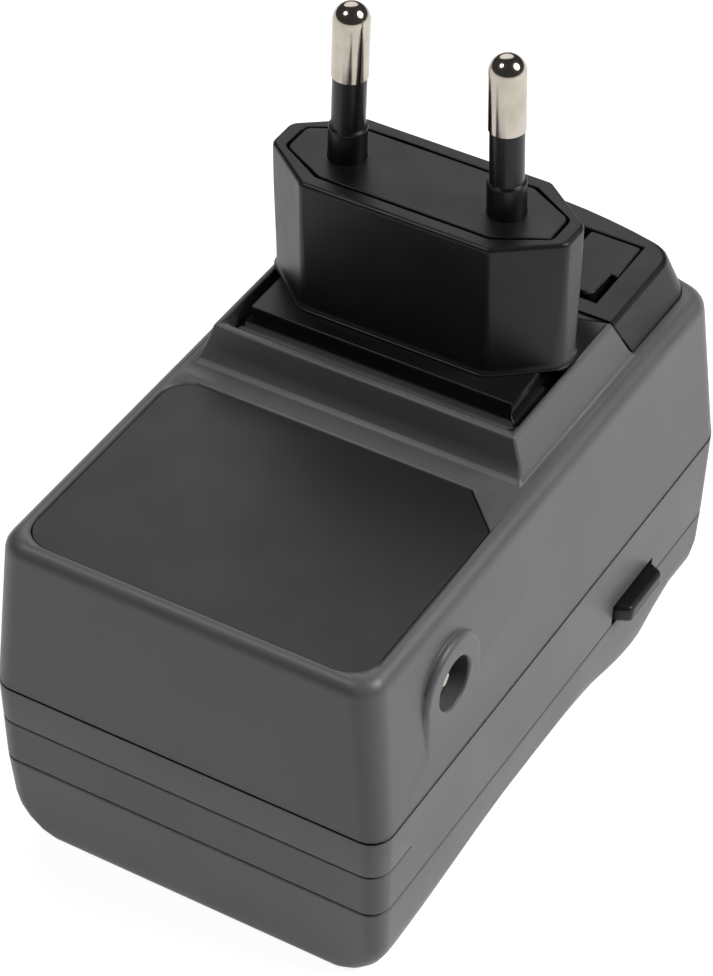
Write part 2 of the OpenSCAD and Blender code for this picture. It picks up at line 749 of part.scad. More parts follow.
module adapter_base() {
    foot_slope = (platform_foot_w - rim_w) / 2 / platform_h;
    color(plug_black)
        difference() {
            union() {
                // block at the far end, with the platform's section and a sloped, bowed far face
                intersection() {
                    hull() {
                        for (k = [[deck_z + slide_gap, 0], [rim_z - adapter_edge, 0],
                                  [rim_z - adapter_edge * 0.3, adapter_edge * 0.3], [rim_z, adapter_edge]])
                            let (grow = foot_slope * (rim_z - k[0]) - k[1])
                            translate([0, 0, k[0] - (k[0] == rim_z ? skin : 0)])
                                linear_extrude(skin)
                                    polygon(outline(rim_w / 2 + grow, -joint_y + over,
                                                    adapter_far + grow, 0.3, 3.4, bow_r));
                    }
                    across(-platform_foot_w, platform_foot_w)
                        polygon([[joint_y + slide_gap, rim_z + over], [joint_y + slide_gap, rim_z],
                                 [joint_y + joint_slant + slide_gap, deck_z],
                                 [joint_y + joint_slant + slide_gap, deck_z - over],
                                 [adapter_far + 5, deck_z - over], [adapter_far + 5, rim_z + over]]);
                }
                // tongue in the tray, and the raised pad with its two steps
                round_plate(-tongue_half, tongue_half, -tongue_near, joint_y + joint_slant + 1,
                            tongue_foot, edge_z, tray_r);
                block(-tongue_half, tongue_half, -1, joint_y + 1, edge_z - skin, tongue_top);
                for (k = [[2, edge_z, step2_z], [1, step2_z, step_z], [0, step_z, pad_z]])
                    block(-pad_w / 2 - k[0] * step_side, pad_w / 2 + k[0] * step_side,
                          -pad_near - k[0] * step_w, 0, k[1] - skin, k[2]);
                plug_form(tongue_top - skin, pad_z, plug_l / 2 - tongue_half + skin);
                along(-rail_near, rail_far)
                    dovetail(tongue_foot + skin, rail_foot, 0);
            }
            // notches beside the pad, under the plug's two tips
            for (s = [0, 1])
                mirror([s, 0, 0])
                    block(pad_w / 2 - 0.1, tongue_half + over, -3, -1, edge_z, pad_z + over);
            // window and pocket of the release tab
            block(tab_x - tab_gap, tab_x + tab_w + slide_gap, tab_near - tab_gap + 0.2,
                  tab_far + slide_gap, deck_z, rim_z + over);
            release_pocket(deck_z - over, tab_roof, 0.3);
            // ways for the two contact rods, and seats of their pads
            for (s = [-1, 1]) {
                translate([s * contact_x, 0, tongue_foot - over])
                    cylinder(r = 1.05, h = plug_h + over);
                block(s * contact_x - 1.6, s * contact_x + 1.6, -3.1, 3.1,
                      tongue_foot - over, tongue_foot + 0.5);
            }
        }
}

module plug_body() {
    color(plug_black)
        difference() {
            hull() {
                plug_slice(pad_z + skin, -0.05);
                plug_slice(-plug_edge, 0.05);
                plug_slice(-plug_edge * 0.55, plug_edge * 0.12 + 0.05);
                plug_slice(-plug_edge * 0.2, plug_edge * 0.42 + 0.05);
                plug_slice(-skin, plug_edge + 0.05);
            }
            plug_form(-3.1, over, face_margin);
            for (s = [-1, 1])
                pin_axis(s)
                    translate([0, 0, -20])
                        cylinder(r = 1.45, h = 20);
        }
}

module plug_face() {
    color(plug_black)
        difference() {
            plug_form(-3, 0, face_margin + face_gap);
            for (s = [-1, 1])
                pin_axis(s)
                    translate([0, 0, -5])
                        cylinder(d = collar_d + 0.1, h = 10);
        }
}

// Carries its children to a pin's axis, leaning in towards the other pin
module pin_axis(s) {
    lean = atan((pin_spacing - pin_tip_spacing) / 2 / pin_len);
    translate([s * pin_spacing / 2, 0, 0])
        rotate([0, -s * lean, 0])
            children();
}

core_r = 1.35;
// How far a pin's core reaches into the plug
root_l = 13;

module pin(s) {
    color(nickel)
        pin_axis(s) {
            translate([0, 0, -root_l])
                cylinder(r = core_r, h = root_l + sleeve_len);
            rotate_extrude()
                polygon(concat([[0, sleeve_len], [pin_d / 2 - 0.1, sleeve_len],
                                [pin_d / 2, sleeve_len + 0.1]],
                               arc([0, pin_len - pin_d / 2], pin_d / 2, 0, 90, 10)));
        }
}

module pin_left() {
    pin(-1);
}

module pin_right() {
    pin(1);
}

module sleeve(s) {
    bore = core_r + 0.03;
    color(plug_black)
        pin_axis(s)
            rotate_extrude()
                polygon([[bore, -2.9], [collar_d / 2, -2.9], [collar_d / 2, collar_h - 0.15],
                         [collar_d / 2 - 0.15, collar_h], [sleeve_d / 2, collar_h],
                         [sleeve_d / 2, sleeve_len - 0.03], [bore, sleeve_len - 0.03]]);
}

module sleeve_left() {
    sleeve(-1);
}

module sleeve_right() {
    sleeve(1);
}

// Rods that carry the current from the pins to pads on the tongue's underside
module adapter_contacts() {
    color(brass)
        for (s = [-1, 1]) {
            translate([s * contact_x, 0, tongue_foot + 0.1])
                cylinder(r = 1, h = -root_l - 0.25 - tongue_foot);
            block(s * contact_x - 1.5, s * contact_x + 1.5, -3, 3, tongue_foot, tongue_foot + 0.4);
        }
}

// Release tab: wide thumb part, narrow nose and a flange that keeps it in its window
module release_tab() {
    flange_top = tab_roof - 0.15;
    color(plug_black)
        union() {
            block(tab_x, tab_x + tab_w, tab_mid, tab_far, flange_top - skin, rim_z - 0.1);
            block(tab_x, tab_x + tab_nose_w, tab_near, tab_mid + skin, flange_top - skin, rim_z - 0.1);
            block(tab_x, tab_x + tab_nose_w, tab_near, tab_near + 0.7, rim_z - 0.2, rim_z + 0.15);
            release_pocket(flange_top - 0.8, flange_top, 0);
        }
}

// Leaf spring that lifts the tab and holds the adapter with its bent nose
module catch_spring() {
    seat = deck_z + 0.45;
    lift = tab_roof - 1.2;
    color(steel)
        across(tab_x + 0.5, tab_x + 4.5)
            strip([[tab_far + 0.6, seat], [tab_far - 1.5, seat], [tab_far - 4.5, lift],
                   [tab_near + 2.6, seat + 0.3], [tab_near + 1.6, deck_z - 1.2],
                   [tab_near + 0.9, deck_z - 1.2], [tab_near + 0.3, seat]], 0.3);
}

module latch_button() {
    out = latch_wall + latch_out;
    color(plug_black)
        translate([0, 0, latch_foot])
            linear_extrude(latch_h)
                polygon([[latch_in, latch_near], [ear_x - ear_t, latch_near],
                         [ear_x - ear_t, latch_near - ear_w], [ear_x, latch_near - ear_w],
                         [ear_x, latch_near], [latch_wall + 0.1, latch_near],
                         [out, latch_near + latch_slope], [out, latch_far - latch_slope],
                         [latch_wall + 0.1, latch_far], [ear_x, latch_far],
                         [ear_x, latch_far + ear_w], [ear_x - ear_t, latch_far + ear_w],
                         [ear_x - ear_t, latch_far], [latch_in, latch_far]]);
}

// Bowed leaf that pushes the button out, with the hook that holds the battery plate
module latch_spring() {
    mid = (latch_near + latch_far) / 2;
    color(steel)
        union() {
            translate([0, 0, latch_foot + 0.3])
                linear_extrude(latch_h - 0.6)
                    strip([[channel_in + 0.35, latch_near + 0.6], [hook_x + 0.2, mid - 1.4],
                           [hook_x + 0.2, mid + 1.4], [channel_in + 0.35, latch_far - 0.6]], 0.3);
            block(hook_x - 0.1, hook_x + 0.2, hook_near, hook_far,
                  plate_top - 1.6, latch_foot + latch_h - 0.3);
            block(hook_x + 0.1, hook_x + 0.9, hook_near, hook_far, plate_top - 1.6, plate_top - 1.1);
        }
}

// Face of the socket behind the wall, and the inner end of its body
jack_face = arch_x - jack_sink - 0.05;
jack_in = jack_face - jack_depth - jack_back;

module dc_socket() {
    color(plug_black)
        difference() {
            union() {
                translate([jack_in, -jack_near, jack_z])
                    rotate([0, 90, 0])
                        cylinder(d = jack_nose_d, h = jack_face - jack_in);
                block(jack_in, jack_face - 1.2, -jack_near - jack_body_w / 2,
                      -jack_near + jack_body_w / 2, jack_z - jack_body_w / 2, jack_z + jack_body_w / 2);
                // legs down to the board
                for (x = [jack_in + 1, arch_x - 6])
                    block(x, x + 1.5, -jack_near - 3.5, -jack_near + 3.5, board_z, jack_z - 4);
            }
            translate([jack_face - jack_depth, -jack_near, jack_z])
                rotate([0, 90, 0])
                    cylinder(d = jack_bore_d, h = jack_depth + over);
            translate([jack_in - over, -jack_near, jack_z])
                rotate([0, 90, 0])
                    cylinder(d = jack_pin_d + 0.1, h = jack_back + 2 * over);
        }
}

module dc_socket_pin() {
    reach = arch_x - jack_pin_sink - jack_in;
    color(nickel)
        translate([jack_in, -jack_near, jack_z])
            rotate([0, 90, 0])
                rotate_extrude()
                    polygon([[0, 0], [jack_pin_d / 2, 0], [jack_pin_d / 2, reach - 0.5],
                             [jack_pin_d / 2 - 0.4, reach], [0, reach]]);
}

board_gap = 0.15;
board_half = half_at(board_foot) - wall - lip_gap - lip_t - board_gap;
board_near = near_at(board_foot) - wall - lip_gap - lip_t - board_gap;
board_far = screw_far + 2.1;

module circuit_board() {
    color([0.12, 0.32, 0.18])
        difference() {
            block(-board_half, board_half, -board_near, board_far, board_foot, board_z);
            for (p = screw_points)
                translate([p[0], p[1], board_foot - over])
                    cylinder(d = screw_d + screw_play, h = board_t + 2 * over);
        }
}

// Middle of the transformer and sizes of its core
core_y = -15;
limb = 3;
leg = 4.6;
window = core_l / 2 - limb - leg / 2;
core_z = board_z + 2.2;

module transformer_core() {
    color([0.16, 0.16, 0.17])
        translate([0, core_y, core_z])
            difference() {
                translate([-core_l / 2, -core_w / 2, 0])
                    cube([core_l, core_w, core_h]);
                for (s = [-1, 1])
                    translate([s * (leg + window) / 2, 0, core_h / 2])
                        cube([window, core_w + over, core_h - 2 * limb], center = true);
            }
}

module transformer_coil() {
    turns_h = core_h - 2 * limb - 0.4;
    turn_x = core_l / 2 - limb - 0.2;
    color([0.85, 0.62, 0.20])
        translate([0, core_y, core_z + limb + 0.2])
            difference() {
                translate([-turn_x, -core_w / 2 - 2.6, 0])
                    cube([2 * turn_x, core_w + 5.2, turns_h]);
                translate([-leg / 2 - 0.1, -core_w / 2 - 0.1, -over])
                    cube([leg + 0.2, core_w + 0.2, turns_h + 2 * over]);
            }
}

module transformer_bobbin() {
    color([0.12, 0.12, 0.13])
        union() {
            block(-core_l / 2 - 1, core_l / 2 + 1, core_y - core_w / 2 - 4, core_y + core_w / 2 + 4,
                  board_z + 0.9, core_z);
            for (x = core_l * [-0.45, -0.15, 0.15, 0.45])
                for (y = [core_y - core_w / 2 - 3, core_y + core_w / 2 + 3])
                    translate([x, y, board_z])
                        cylinder(r = 0.4, h = 1.2);
        }
}

module capacitor(x, y, d, h) {
    crimp = 1.6;
    translate([x, y, board_z])
        rotate_extrude()
            polygon([[0, 0], [d / 2 - 0.2, 0], [d / 2, 0.2], [d / 2, crimp], [d / 2 - 0.25, crimp + 0.3],
                     [d / 2, crimp + 0.6], [d / 2, h - 0.3], [d / 2 - 0.3, h], [0, h]]);
}

module input_capacitor() {
    color([0.08, 0.10, 0.16])
        capacitor(input_cap_d / 2 + 2.1 - board_half, input_cap_d / 2 + contact_l / 2 + 0.5,
                  input_cap_d, input_cap_h);
}

module output_capacitor() {
    color([0.10, 0.14, 0.24])
        capacitor(output_cap_d / 2 + 2.4 - board_half, 13.1 - board_near, output_cap_d, output_cap_h);
}

module control_chip() {
    chip_y = 10;
    pitch = 2.54;
    color([0.09, 0.09, 0.10])
        union() {
            block(-chip_w / 2, chip_w / 2, chip_y - chip_l / 2, chip_y + chip_l / 2,
                  board_z + 0.4, board_z + 3.6);
            for (k = [-1.5:1:1.5])
                for (s = [-1, 1])
                    translate([s * (chip_w / 2 + 0.5), chip_y + k * pitch, board_z + 1.1])
                        cube([1.4, 0.5, 2.2], center = true);
        }
}

module status_led() {
    color([0.55, 0.85, 0.45])
        translate([lamp[0], lamp[1], board_foot - 1.2])
            cylinder(d = lamp_d - 0.4, h = 1.2);
}

// Clear rod that carries the lamp's light to the battery side
module light_pipe() {
    color([0.85, 0.88, 0.90])
        translate([lamp[0], lamp[1], foot_z + 0.4])
            cylinder(d = lamp_d, h = board_foot - 1.3 - foot_z - 0.4);
}

module mains_contacts() {
    tip_z = tray_z + slide_gap / 2;
    color(brass)
        for (s = [-1, 1])
            translate([s * contact_x, 0, 0])
                union() {
                    block(-0.25, 0.25, -contact_l / 2, contact_l / 2, board_z, tip_z - 0.5);
                    block(-0.8, 0.8, -contact_l / 2, contact_l / 2, tip_z - 0.8, tip_z);
                }
}

// Sprung pins from the board to the battery plate
module transfer_contacts() {
    color(brass)
        for (x = pogo_x)
            translate([x, -pogo_near, plate_top + 0.1]) {
                cylinder(d = pogo_d, h = board_foot - plate_top - 0.1);
                translate([0, 0, frame_floor - plate_top])
                    cylinder(d = pogo_d + 1, h = 1.2);
            }
}

// Springs that stand out of the bay's near wall and touch the battery
module battery_contacts() {
    back = -bay_near - 1.4;
    color(brass)
        for (x = pogo_x)
            across(x - 1.1, x + 1.1)
                strip([[-pogo_near - 1.2, plate_top - 0.2], [back, plate_top - 0.2],
                       [back, foot_z + 7.6], [-bay_near + 0.8, foot_z + 5.4], [back, foot_z + 3.2],
                       [back, foot_z + 2]], 0.3);
}

module housing_screws() {
    seat = frame_foot + screw_head_h + head_play;
    color(steel)
        for (p = screw_points)
            translate([p[0], p[1], 0])
                difference() {
                    union() {
                        translate([0, 0, seat - screw_head_h])
                            cylinder(d = screw_head_d, h = screw_head_h);
                        translate([0, 0, seat - skin])
                            cylinder(d = screw_d, h = board_z + screw_grip - seat);
                    }
                    for (a = [0, 90])
                        rotate(a)
                            translate([0, 0, seat - screw_head_h])
                                cube([0.6 * screw_head_d, 0.7, screw_head_h], center = true);
                }
}

rear_housing();
front_frame();
battery_plate();
rating_panel();
adapter_base();
plug_body();
plug_face();
pin_left();
pin_right();
sleeve_left();
sleeve_right();
adapter_contacts();
release_tab();
catch_spring();
latch_button();
latch_spring();
dc_socket();
dc_socket_pin();
circuit_board();
transformer_core();
transformer_coil();
transformer_bobbin();
input_capacitor();
output_capacitor();
control_chip();
status_led();
light_pipe();
mains_contacts();
transfer_contacts();
battery_contacts();
housing_screws();
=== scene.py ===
import bpy
import bmesh
import math
import numpy as np
from mathutils import Matrix, Vector


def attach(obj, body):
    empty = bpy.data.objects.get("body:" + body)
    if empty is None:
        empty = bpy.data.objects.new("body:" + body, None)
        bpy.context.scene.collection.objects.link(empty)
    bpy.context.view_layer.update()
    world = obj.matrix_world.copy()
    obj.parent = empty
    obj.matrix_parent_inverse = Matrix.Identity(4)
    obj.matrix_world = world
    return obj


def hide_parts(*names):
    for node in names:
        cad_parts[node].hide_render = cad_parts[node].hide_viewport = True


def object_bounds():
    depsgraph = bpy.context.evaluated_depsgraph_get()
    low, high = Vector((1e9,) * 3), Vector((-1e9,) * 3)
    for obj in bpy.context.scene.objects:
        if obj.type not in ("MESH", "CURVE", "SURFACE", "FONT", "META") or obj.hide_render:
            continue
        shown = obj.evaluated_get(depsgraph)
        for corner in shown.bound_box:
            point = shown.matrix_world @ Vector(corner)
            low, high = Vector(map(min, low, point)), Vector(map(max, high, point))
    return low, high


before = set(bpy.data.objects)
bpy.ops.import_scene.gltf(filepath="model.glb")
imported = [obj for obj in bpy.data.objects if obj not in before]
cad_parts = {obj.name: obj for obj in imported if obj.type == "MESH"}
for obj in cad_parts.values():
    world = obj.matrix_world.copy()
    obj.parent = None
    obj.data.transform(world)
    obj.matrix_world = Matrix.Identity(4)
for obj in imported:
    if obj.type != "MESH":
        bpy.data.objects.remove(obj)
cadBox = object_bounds()
mm = 0.001
print("frame loaded")

view = {
    "turn": 30.8,          # degrees round the charger, from the near end towards the socket side
    "tilt": 41.5,          # degrees above the table
    "roll": -0.01,
    "focal": 3595.6,       # in pixels of a 713 x 976 picture
    "tx": 8.9, "ty": -32.2, "away": 371.96,   # where the plug's middle lies in front of the lens, mm
    "centre": (340.2, 493.3),
    "picture": (713, 976),
    "sensor": 36,
}


def aimCamera(v):
    # back = (sin t cos e, -cos t cos e, sin e); right = forward x Z; up = right x forward
    t, e, r = (math.radians(v[k]) for k in ("turn", "tilt", "roll"))
    back = np.array([math.sin(t) * math.cos(e), -math.cos(t) * math.cos(e), math.sin(e)])
    right = np.cross(-back, [0, 0, 1])
    right /= np.linalg.norm(right)
    up = np.cross(right, -back)
    right, up = (math.cos(r) * right + math.sin(r) * up, math.cos(r) * up - math.sin(r) * right)
    rows = np.array([right, -up, -back])
    place = -rows.T @ np.array([v["tx"], v["ty"], v["away"]]) * mm
    cam = bpy.data.cameras.new("camera")
    wide, high = v["picture"]
    cam.lens = v["focal"] / high * v["sensor"]
    cam.sensor_width = v["sensor"]
    cam.shift_x = (wide / 2 - v["centre"][0]) / high
    cam.shift_y = (v["centre"][1] - high / 2) / high
    cam.clip_start = 0.01
    obj = bpy.data.objects.new("camera", cam)
    m = Matrix.Identity(4)
    for i in range(3):
        m[i][0], m[i][1], m[i][2], m[i][3] = right[i], up[i], back[i], place[i]
    obj.matrix_world = m
    bpy.context.scene.collection.objects.link(obj)
    bpy.context.scene.camera = obj


aimCamera(view)
print("camera set")


# materials: every finish reads Object coordinates, so it stays on its piece
def startMaterial(name):
    # new material with its nodes, its link function, its shader and the Object coordinates
    m = bpy.data.materials.new(name)
    m.use_nodes = True
    nodes = m.node_tree.nodes
    coords = nodes.new("ShaderNodeTexCoord").outputs["Object"]
    return m, nodes, m.node_tree.links.new, nodes["Principled BSDF"], coords


def addNoise(nodes, link, coords, size, detail=2, roughness=0.5):
    # noise whose grains measure about size millimetres
    n = nodes.new("ShaderNodeTexNoise")
    n.inputs["Scale"].default_value = 1 / (size * mm)
    n.inputs["Detail"].default_value = detail
    n.inputs["Roughness"].default_value = roughness
    link(coords, n.inputs["Vector"])
    return n.outputs["Fac"]


def addRange(nodes, link, fac, low, high, fromLow=0.3, fromHigh=0.7):
    # fac between fromLow and fromHigh carried to low ... high
    r = nodes.new("ShaderNodeMapRange")
    r.inputs["From Min"].default_value = fromLow
    r.inputs["From Max"].default_value = fromHigh
    r.inputs["To Min"].default_value = low
    r.inputs["To Max"].default_value = high
    link(fac, r.inputs["Value"])
    return r.outputs["Result"]


def addMix(nodes, link, fac, a, b):
    # a where fac is 0 and b where it is 1
    m = nodes.new("ShaderNodeMix")
    m.data_type = "RGBA"
    link(fac, m.inputs["Factor"])
    for socket, value in ((m.inputs["A"], a), (m.inputs["B"], b)):
        if isinstance(value, tuple):
            socket.default_value = (*value, 1)
        else:
            link(value, socket)
    return m.outputs["Result"]


def addBump(nodes, link, height, depth, strength, under=None):
    # height 0 ... 1 raised by depth millimetres, over the bump under it if there is one
    b = nodes.new("ShaderNodeBump")
    b.inputs["Distance"].default_value = depth * mm
    b.inputs["Strength"].default_value = strength
    link(height, b.inputs["Height"])
    if under is not None:
        link(under, b.inputs["Normal"])
    return b.outputs["Normal"]


def lifted(colour, times, plus):
    # each channel c becomes c * times + plus, at most 1
    return tuple(min(1, c * times + plus) for c in colour)


moulded = {
    "speckFrom": (0.5, 0.75), "speckLift": (1.9, 0.01),     # grain that shows as specks, their tone
    "convexFrom": (0.53, 0.62), "convexLift": (1.6, 0.02),      # pointiness of convex edges, and the lighter tone they get
    "sinkStrength": 0.5,
}


def mouldedPlastic(name, look):
    # colour = base shaded by a slow noise and lightened where an edge is convex;
    # roughness follows a middle noise; bump = spark-eroded grain over slow sink marks
    m, nodes, link, shader, coords = startMaterial(name)
    slow = addNoise(nodes, link, coords, look["patch"], 3)
    grain = addNoise(nodes, link, coords, look["grain"], 4, 0.6)
    base = look["base"]
    dark = tuple(c * (1 - look["vary"]) for c in base)
    light = tuple(c * (1 + look["vary"]) for c in base)
    body = addMix(nodes, link, addRange(nodes, link, slow, 0, 1), dark, light)
    speck = addMix(nodes, link, addRange(nodes, link, grain, 0, look["speck"], *moulded["speckFrom"]), body,
                   lifted(base, *moulded["speckLift"]))
    edge = nodes.new("ShaderNodeNewGeometry").outputs["Pointiness"]
    convexMask = addRange(nodes, link, edge, 0, look["convexShare"], *moulded["convexFrom"])
    link(addMix(nodes, link, convexMask, speck, lifted(base, *moulded["convexLift"])), shader.inputs["Base Color"])
    link(addRange(nodes, link, slow, look["rough"][0], look["rough"][1]), shader.inputs["Roughness"])
    sink = addBump(nodes, link, slow, look["sink"], moulded["sinkStrength"])
    link(addBump(nodes, link, grain, look["depth"], look["strength"], sink), shader.inputs["Normal"])
    shader.inputs["Specular IOR Level"].default_value = look["shine"]
    return m


def plainMetal(name, look):
    # colour varies slowly between two tones; roughness and bump follow noise that is stretched
    # along the axis whose number in stretch is the small one
    m, nodes, link, shader, coords = startMaterial(name)
    turn = nodes.new("ShaderNodeMapping")
    turn.inputs["Scale"].default_value = look["stretch"]
    link(coords, turn.inputs["Vector"])
    streak = addNoise(nodes, link, turn.outputs["Vector"], look["grain"], 3)
    slow = addNoise(nodes, link, coords, look["patch"], 2)
    link(addMix(nodes, link, addRange(nodes, link, slow, 0, 1), look["base"], look["tint"]),
         shader.inputs["Base Color"])
    link(addRange(nodes, link, streak, look["rough"][0], look["rough"][1]), shader.inputs["Roughness"])
    link(addBump(nodes, link, streak, look["depth"], 0.6), shader.inputs["Normal"])
    shader.inputs["Metallic"].default_value = 1
    return m


# patch and grain: size of the slow and the fine noise, mm; sink and depth: height of their bumps, mm;
# vary, speck and convexShare: how much the colour changes in patches, in specks and on convex edges, which
# are lightened
finishes = {
    "shell": {"base": (0.115, 0.116, 0.121), "vary": 0.05, "patch": 9, "grain": 0.16, "speck": 0.10,
              "convexShare": 0.30, "rough": (0.38, 0.45), "sink": 0.03, "depth": 0.012, "strength": 0.5,
              "shine": 0.45},
    "black": {"base": (0.0065, 0.0065, 0.0070), "vary": 0.08, "patch": 6, "grain": 0.12, "speck": 0.08,
              "convexShare": 0.35, "rough": (0.34, 0.42), "sink": 0.02, "depth": 0.008, "strength": 0.4,
              "shine": 0.33},
    "panel": {"base": (0.013, 0.0135, 0.015), "vary": 0.06, "patch": 5, "grain": 0.10, "speck": 0.06,
              "convexShare": 0.2, "rough": (0.40, 0.47), "sink": 0.01, "depth": 0.005, "strength": 0.35,
              "shine": 0.45},
    "inlet": {"base": (0.045, 0.045, 0.047), "vary": 0.1, "patch": 2, "grain": 0.1, "speck": 0.08,
              "convexShare": 0.3, "rough": (0.38, 0.48), "sink": 0.01, "depth": 0.006, "strength": 0.4,
              "shine": 0.5},
    "sleeve": {"base": (0.005, 0.005, 0.0055), "vary": 0.08, "patch": 3, "grain": 0.1, "speck": 0.05,
               "convexShare": 0.2, "rough": (0.26, 0.34), "sink": 0.01, "depth": 0.004, "strength": 0.3,
               "shine": 0.3},
    "bobbin": {"base": (0.03, 0.03, 0.033), "vary": 0.1, "patch": 3, "grain": 0.1, "speck": 0.1,
               "convexShare": 0.2, "rough": (0.5, 0.6), "sink": 0.01, "depth": 0.008, "strength": 0.5,
               "shine": 0.4},
    "ferrite": {"base": (0.055, 0.055, 0.060), "vary": 0.2, "patch": 1.5, "grain": 0.2, "speck": 0.3,
                "convexShare": 0.5, "rough": (0.6, 0.75), "sink": 0.02, "depth": 0.03, "strength": 0.7,
                "shine": 0.35},
    "chip": {"base": (0.024, 0.024, 0.026), "vary": 0.08, "patch": 2, "grain": 0.08, "speck": 0.15,
             "convexShare": 0.2, "rough": (0.5, 0.6), "sink": 0.01, "depth": 0.008, "strength": 0.5,
             "shine": 0.4},
    "pin": {"base": (0.43, 0.39, 0.33), "tint": (0.50, 0.46, 0.40), "stretch": (1, 1, 0.06), "grain": 0.1,
            "patch": 2, "rough": (0.10, 0.17), "depth": 0.002},
    "brass": {"base": (0.70, 0.50, 0.20), "tint": (0.78, 0.60, 0.30), "stretch": (1, 1, 0.1), "grain": 0.1,
              "patch": 2, "rough": (0.25, 0.38), "depth": 0.003},
    "spring": {"base": (0.54, 0.54, 0.55), "tint": (0.62, 0.62, 0.63), "stretch": (1, 0.05, 1),
               "grain": 0.08, "patch": 2, "rough": (0.22, 0.34), "depth": 0.003},
    "screw": {"base": (0.50, 0.50, 0.52), "tint": (0.60, 0.60, 0.60), "stretch": (1, 1, 1), "grain": 0.15,
              "patch": 1.5, "rough": (0.28, 0.42), "depth": 0.004},
}
plastics = ("shell", "black", "inlet", "panel", "sleeve", "bobbin", "ferrite", "chip")
material = {}
for name, look in finishes.items():
    make = mouldedPlastic if name in plastics else plainMetal
    material[name] = make(name + "Finish", look)


def laminateMaterial(look):
    # green solder resist with a fine weave; along the edges of voronoi cells it is lighter and lower
    m, nodes, link, shader, coords = startMaterial("laminateFinish")
    cells = nodes.new("ShaderNodeTexVoronoi")
    cells.feature = "DISTANCE_TO_EDGE"
    cells.distance = "EUCLIDEAN"
    cells.inputs["Scale"].default_value = 1 / (look["trackPitch"] * mm)
    link(coords, cells.inputs["Vector"])
    track = addRange(nodes, link, cells.outputs["Distance"], 0, 1, *look["track"])
    weave = addNoise(nodes, link, coords, look["weave"], 2)
    green = addMix(nodes, link, addRange(nodes, link, weave, 0, 1), look["dark"], look["green"])
    link(addMix(nodes, link, track, look["light"], green), shader.inputs["Base Color"])
    link(addRange(nodes, link, weave, *look["rough"]), shader.inputs["Roughness"])
    link(addBump(nodes, link, track, look["depth"], 0.6), shader.inputs["Normal"])
    return m


def wovenTape(look):
    # yellow tape wound round the coil: fine ribs from a wave texture that runs up the coil, glossy
    m, nodes, link, shader, coords = startMaterial("coilFinish")
    wave = nodes.new("ShaderNodeTexWave")
    wave.bands_direction = "Z"
    wave.inputs["Scale"].default_value = look["bands"] / (look["pitch"] * mm)
    wave.inputs["Distortion"].default_value = look["uneven"]
    link(coords, wave.inputs["Vector"])
    slow = addNoise(nodes, link, coords, look["patch"], 3)
    link(addMix(nodes, link, addRange(nodes, link, slow, 0, 1), look["dark"], look["light"]),
         shader.inputs["Base Color"])
    link(addRange(nodes, link, slow, *look["rough"]), shader.inputs["Roughness"])
    link(addBump(nodes, link, wave.outputs["Fac"], look["depth"], 0.5), shader.inputs["Normal"])
    return m


def canMaterial(look):
    # capacitor: shrunk dark sleeve up the side, bare aluminium where the height passes the sleeve's end
    m, nodes, link, shader, coords = startMaterial(look["name"])
    parts = nodes.new("ShaderNodeSeparateXYZ")
    link(coords, parts.inputs["Vector"])
    end = look["top"] * mm
    top = addRange(nodes, link, parts.outputs["Z"], 0, 1, end - look["soft"] * mm, end)
    slow = addNoise(nodes, link, coords, look["patch"], 2)
    film = addMix(nodes, link, addRange(nodes, link, slow, 0, 1), look["dark"], look["light"])
    link(addMix(nodes, link, top, film, look["metal"]), shader.inputs["Base Color"])
    link(top, shader.inputs["Metallic"])
    link(addRange(nodes, link, slow, *look["rough"]), shader.inputs["Roughness"])
    link(addBump(nodes, link, slow, look["depth"], 0.4), shader.inputs["Normal"])
    return m


def clearMaterial(name, look):
    # clear or diffusing moulding: transmission with a slow haze in its roughness
    m, nodes, link, shader, coords = startMaterial(name)
    slow = addNoise(nodes, link, coords, look["patch"], 2)
    link(addMix(nodes, link, addRange(nodes, link, slow, 0, 1), look["base"], look["tint"]),
         shader.inputs["Base Color"])
    link(addRange(nodes, link, slow, *look["rough"]), shader.inputs["Roughness"])
    link(addBump(nodes, link, slow, look["depth"], 0.3), shader.inputs["Normal"])
    shader.inputs["Transmission Weight"].default_value = look["clear"]
    shader.inputs["IOR"].default_value = look["ior"]
    return m


laminate = {
    "trackPitch": 2.2, "track": (0.06, 0.09), "weave": 0.3, "rough": (0.3, 0.42), "depth": 0.035,
    "dark": (0.010, 0.075, 0.035), "green": (0.014, 0.095, 0.045), "light": (0.05, 0.20, 0.09),
}
tape = {
    "pitch": 0.6, "bands": 0.32, "uneven": 0.6, "patch": 3, "rough": (0.2, 0.35), "depth": 0.05,
    "dark": (0.66, 0.40, 0.05), "light": (0.76, 0.50, 0.08),
}
clear = {
    "lamp": {"base": (0.40, 0.68, 0.34), "tint": (0.52, 0.78, 0.44), "rough": (0.3, 0.45), "patch": 0.8,
             "clear": 0.35, "depth": 0.01, "ior": 1.49},
    "rod": {"base": (0.86, 0.90, 0.92), "tint": (0.80, 0.86, 0.90), "rough": (0.05, 0.12), "patch": 2,
            "clear": 0.9, "depth": 0.01, "ior": 1.49},
}
material["board"] = laminateMaterial(laminate)
material["coil"] = wovenTape(tape)
for name, look in clear.items():
    material[name] = clearMaterial(name + "Finish", look)
print("finishes made")


# pieces: points are worked out in millimetres and put into the mesh in metres
hair = 0.001        # mm; keeps two rings apart where a profile turns sharply


def gridFaces(rows, cols):
    # face (i, j) joins points (i, j), (i, j+1), (i+1, j+1), (i+1, j); columns close on themselves
    i, j = np.meshgrid(np.arange(rows - 1), np.arange(cols), indexing="ij")
    i, j = i.ravel(), j.ravel()
    k = (j + 1) % cols
    return np.column_stack([i * cols + j, i * cols + k, (i + 1) * cols + k, (i + 1) * cols + j])


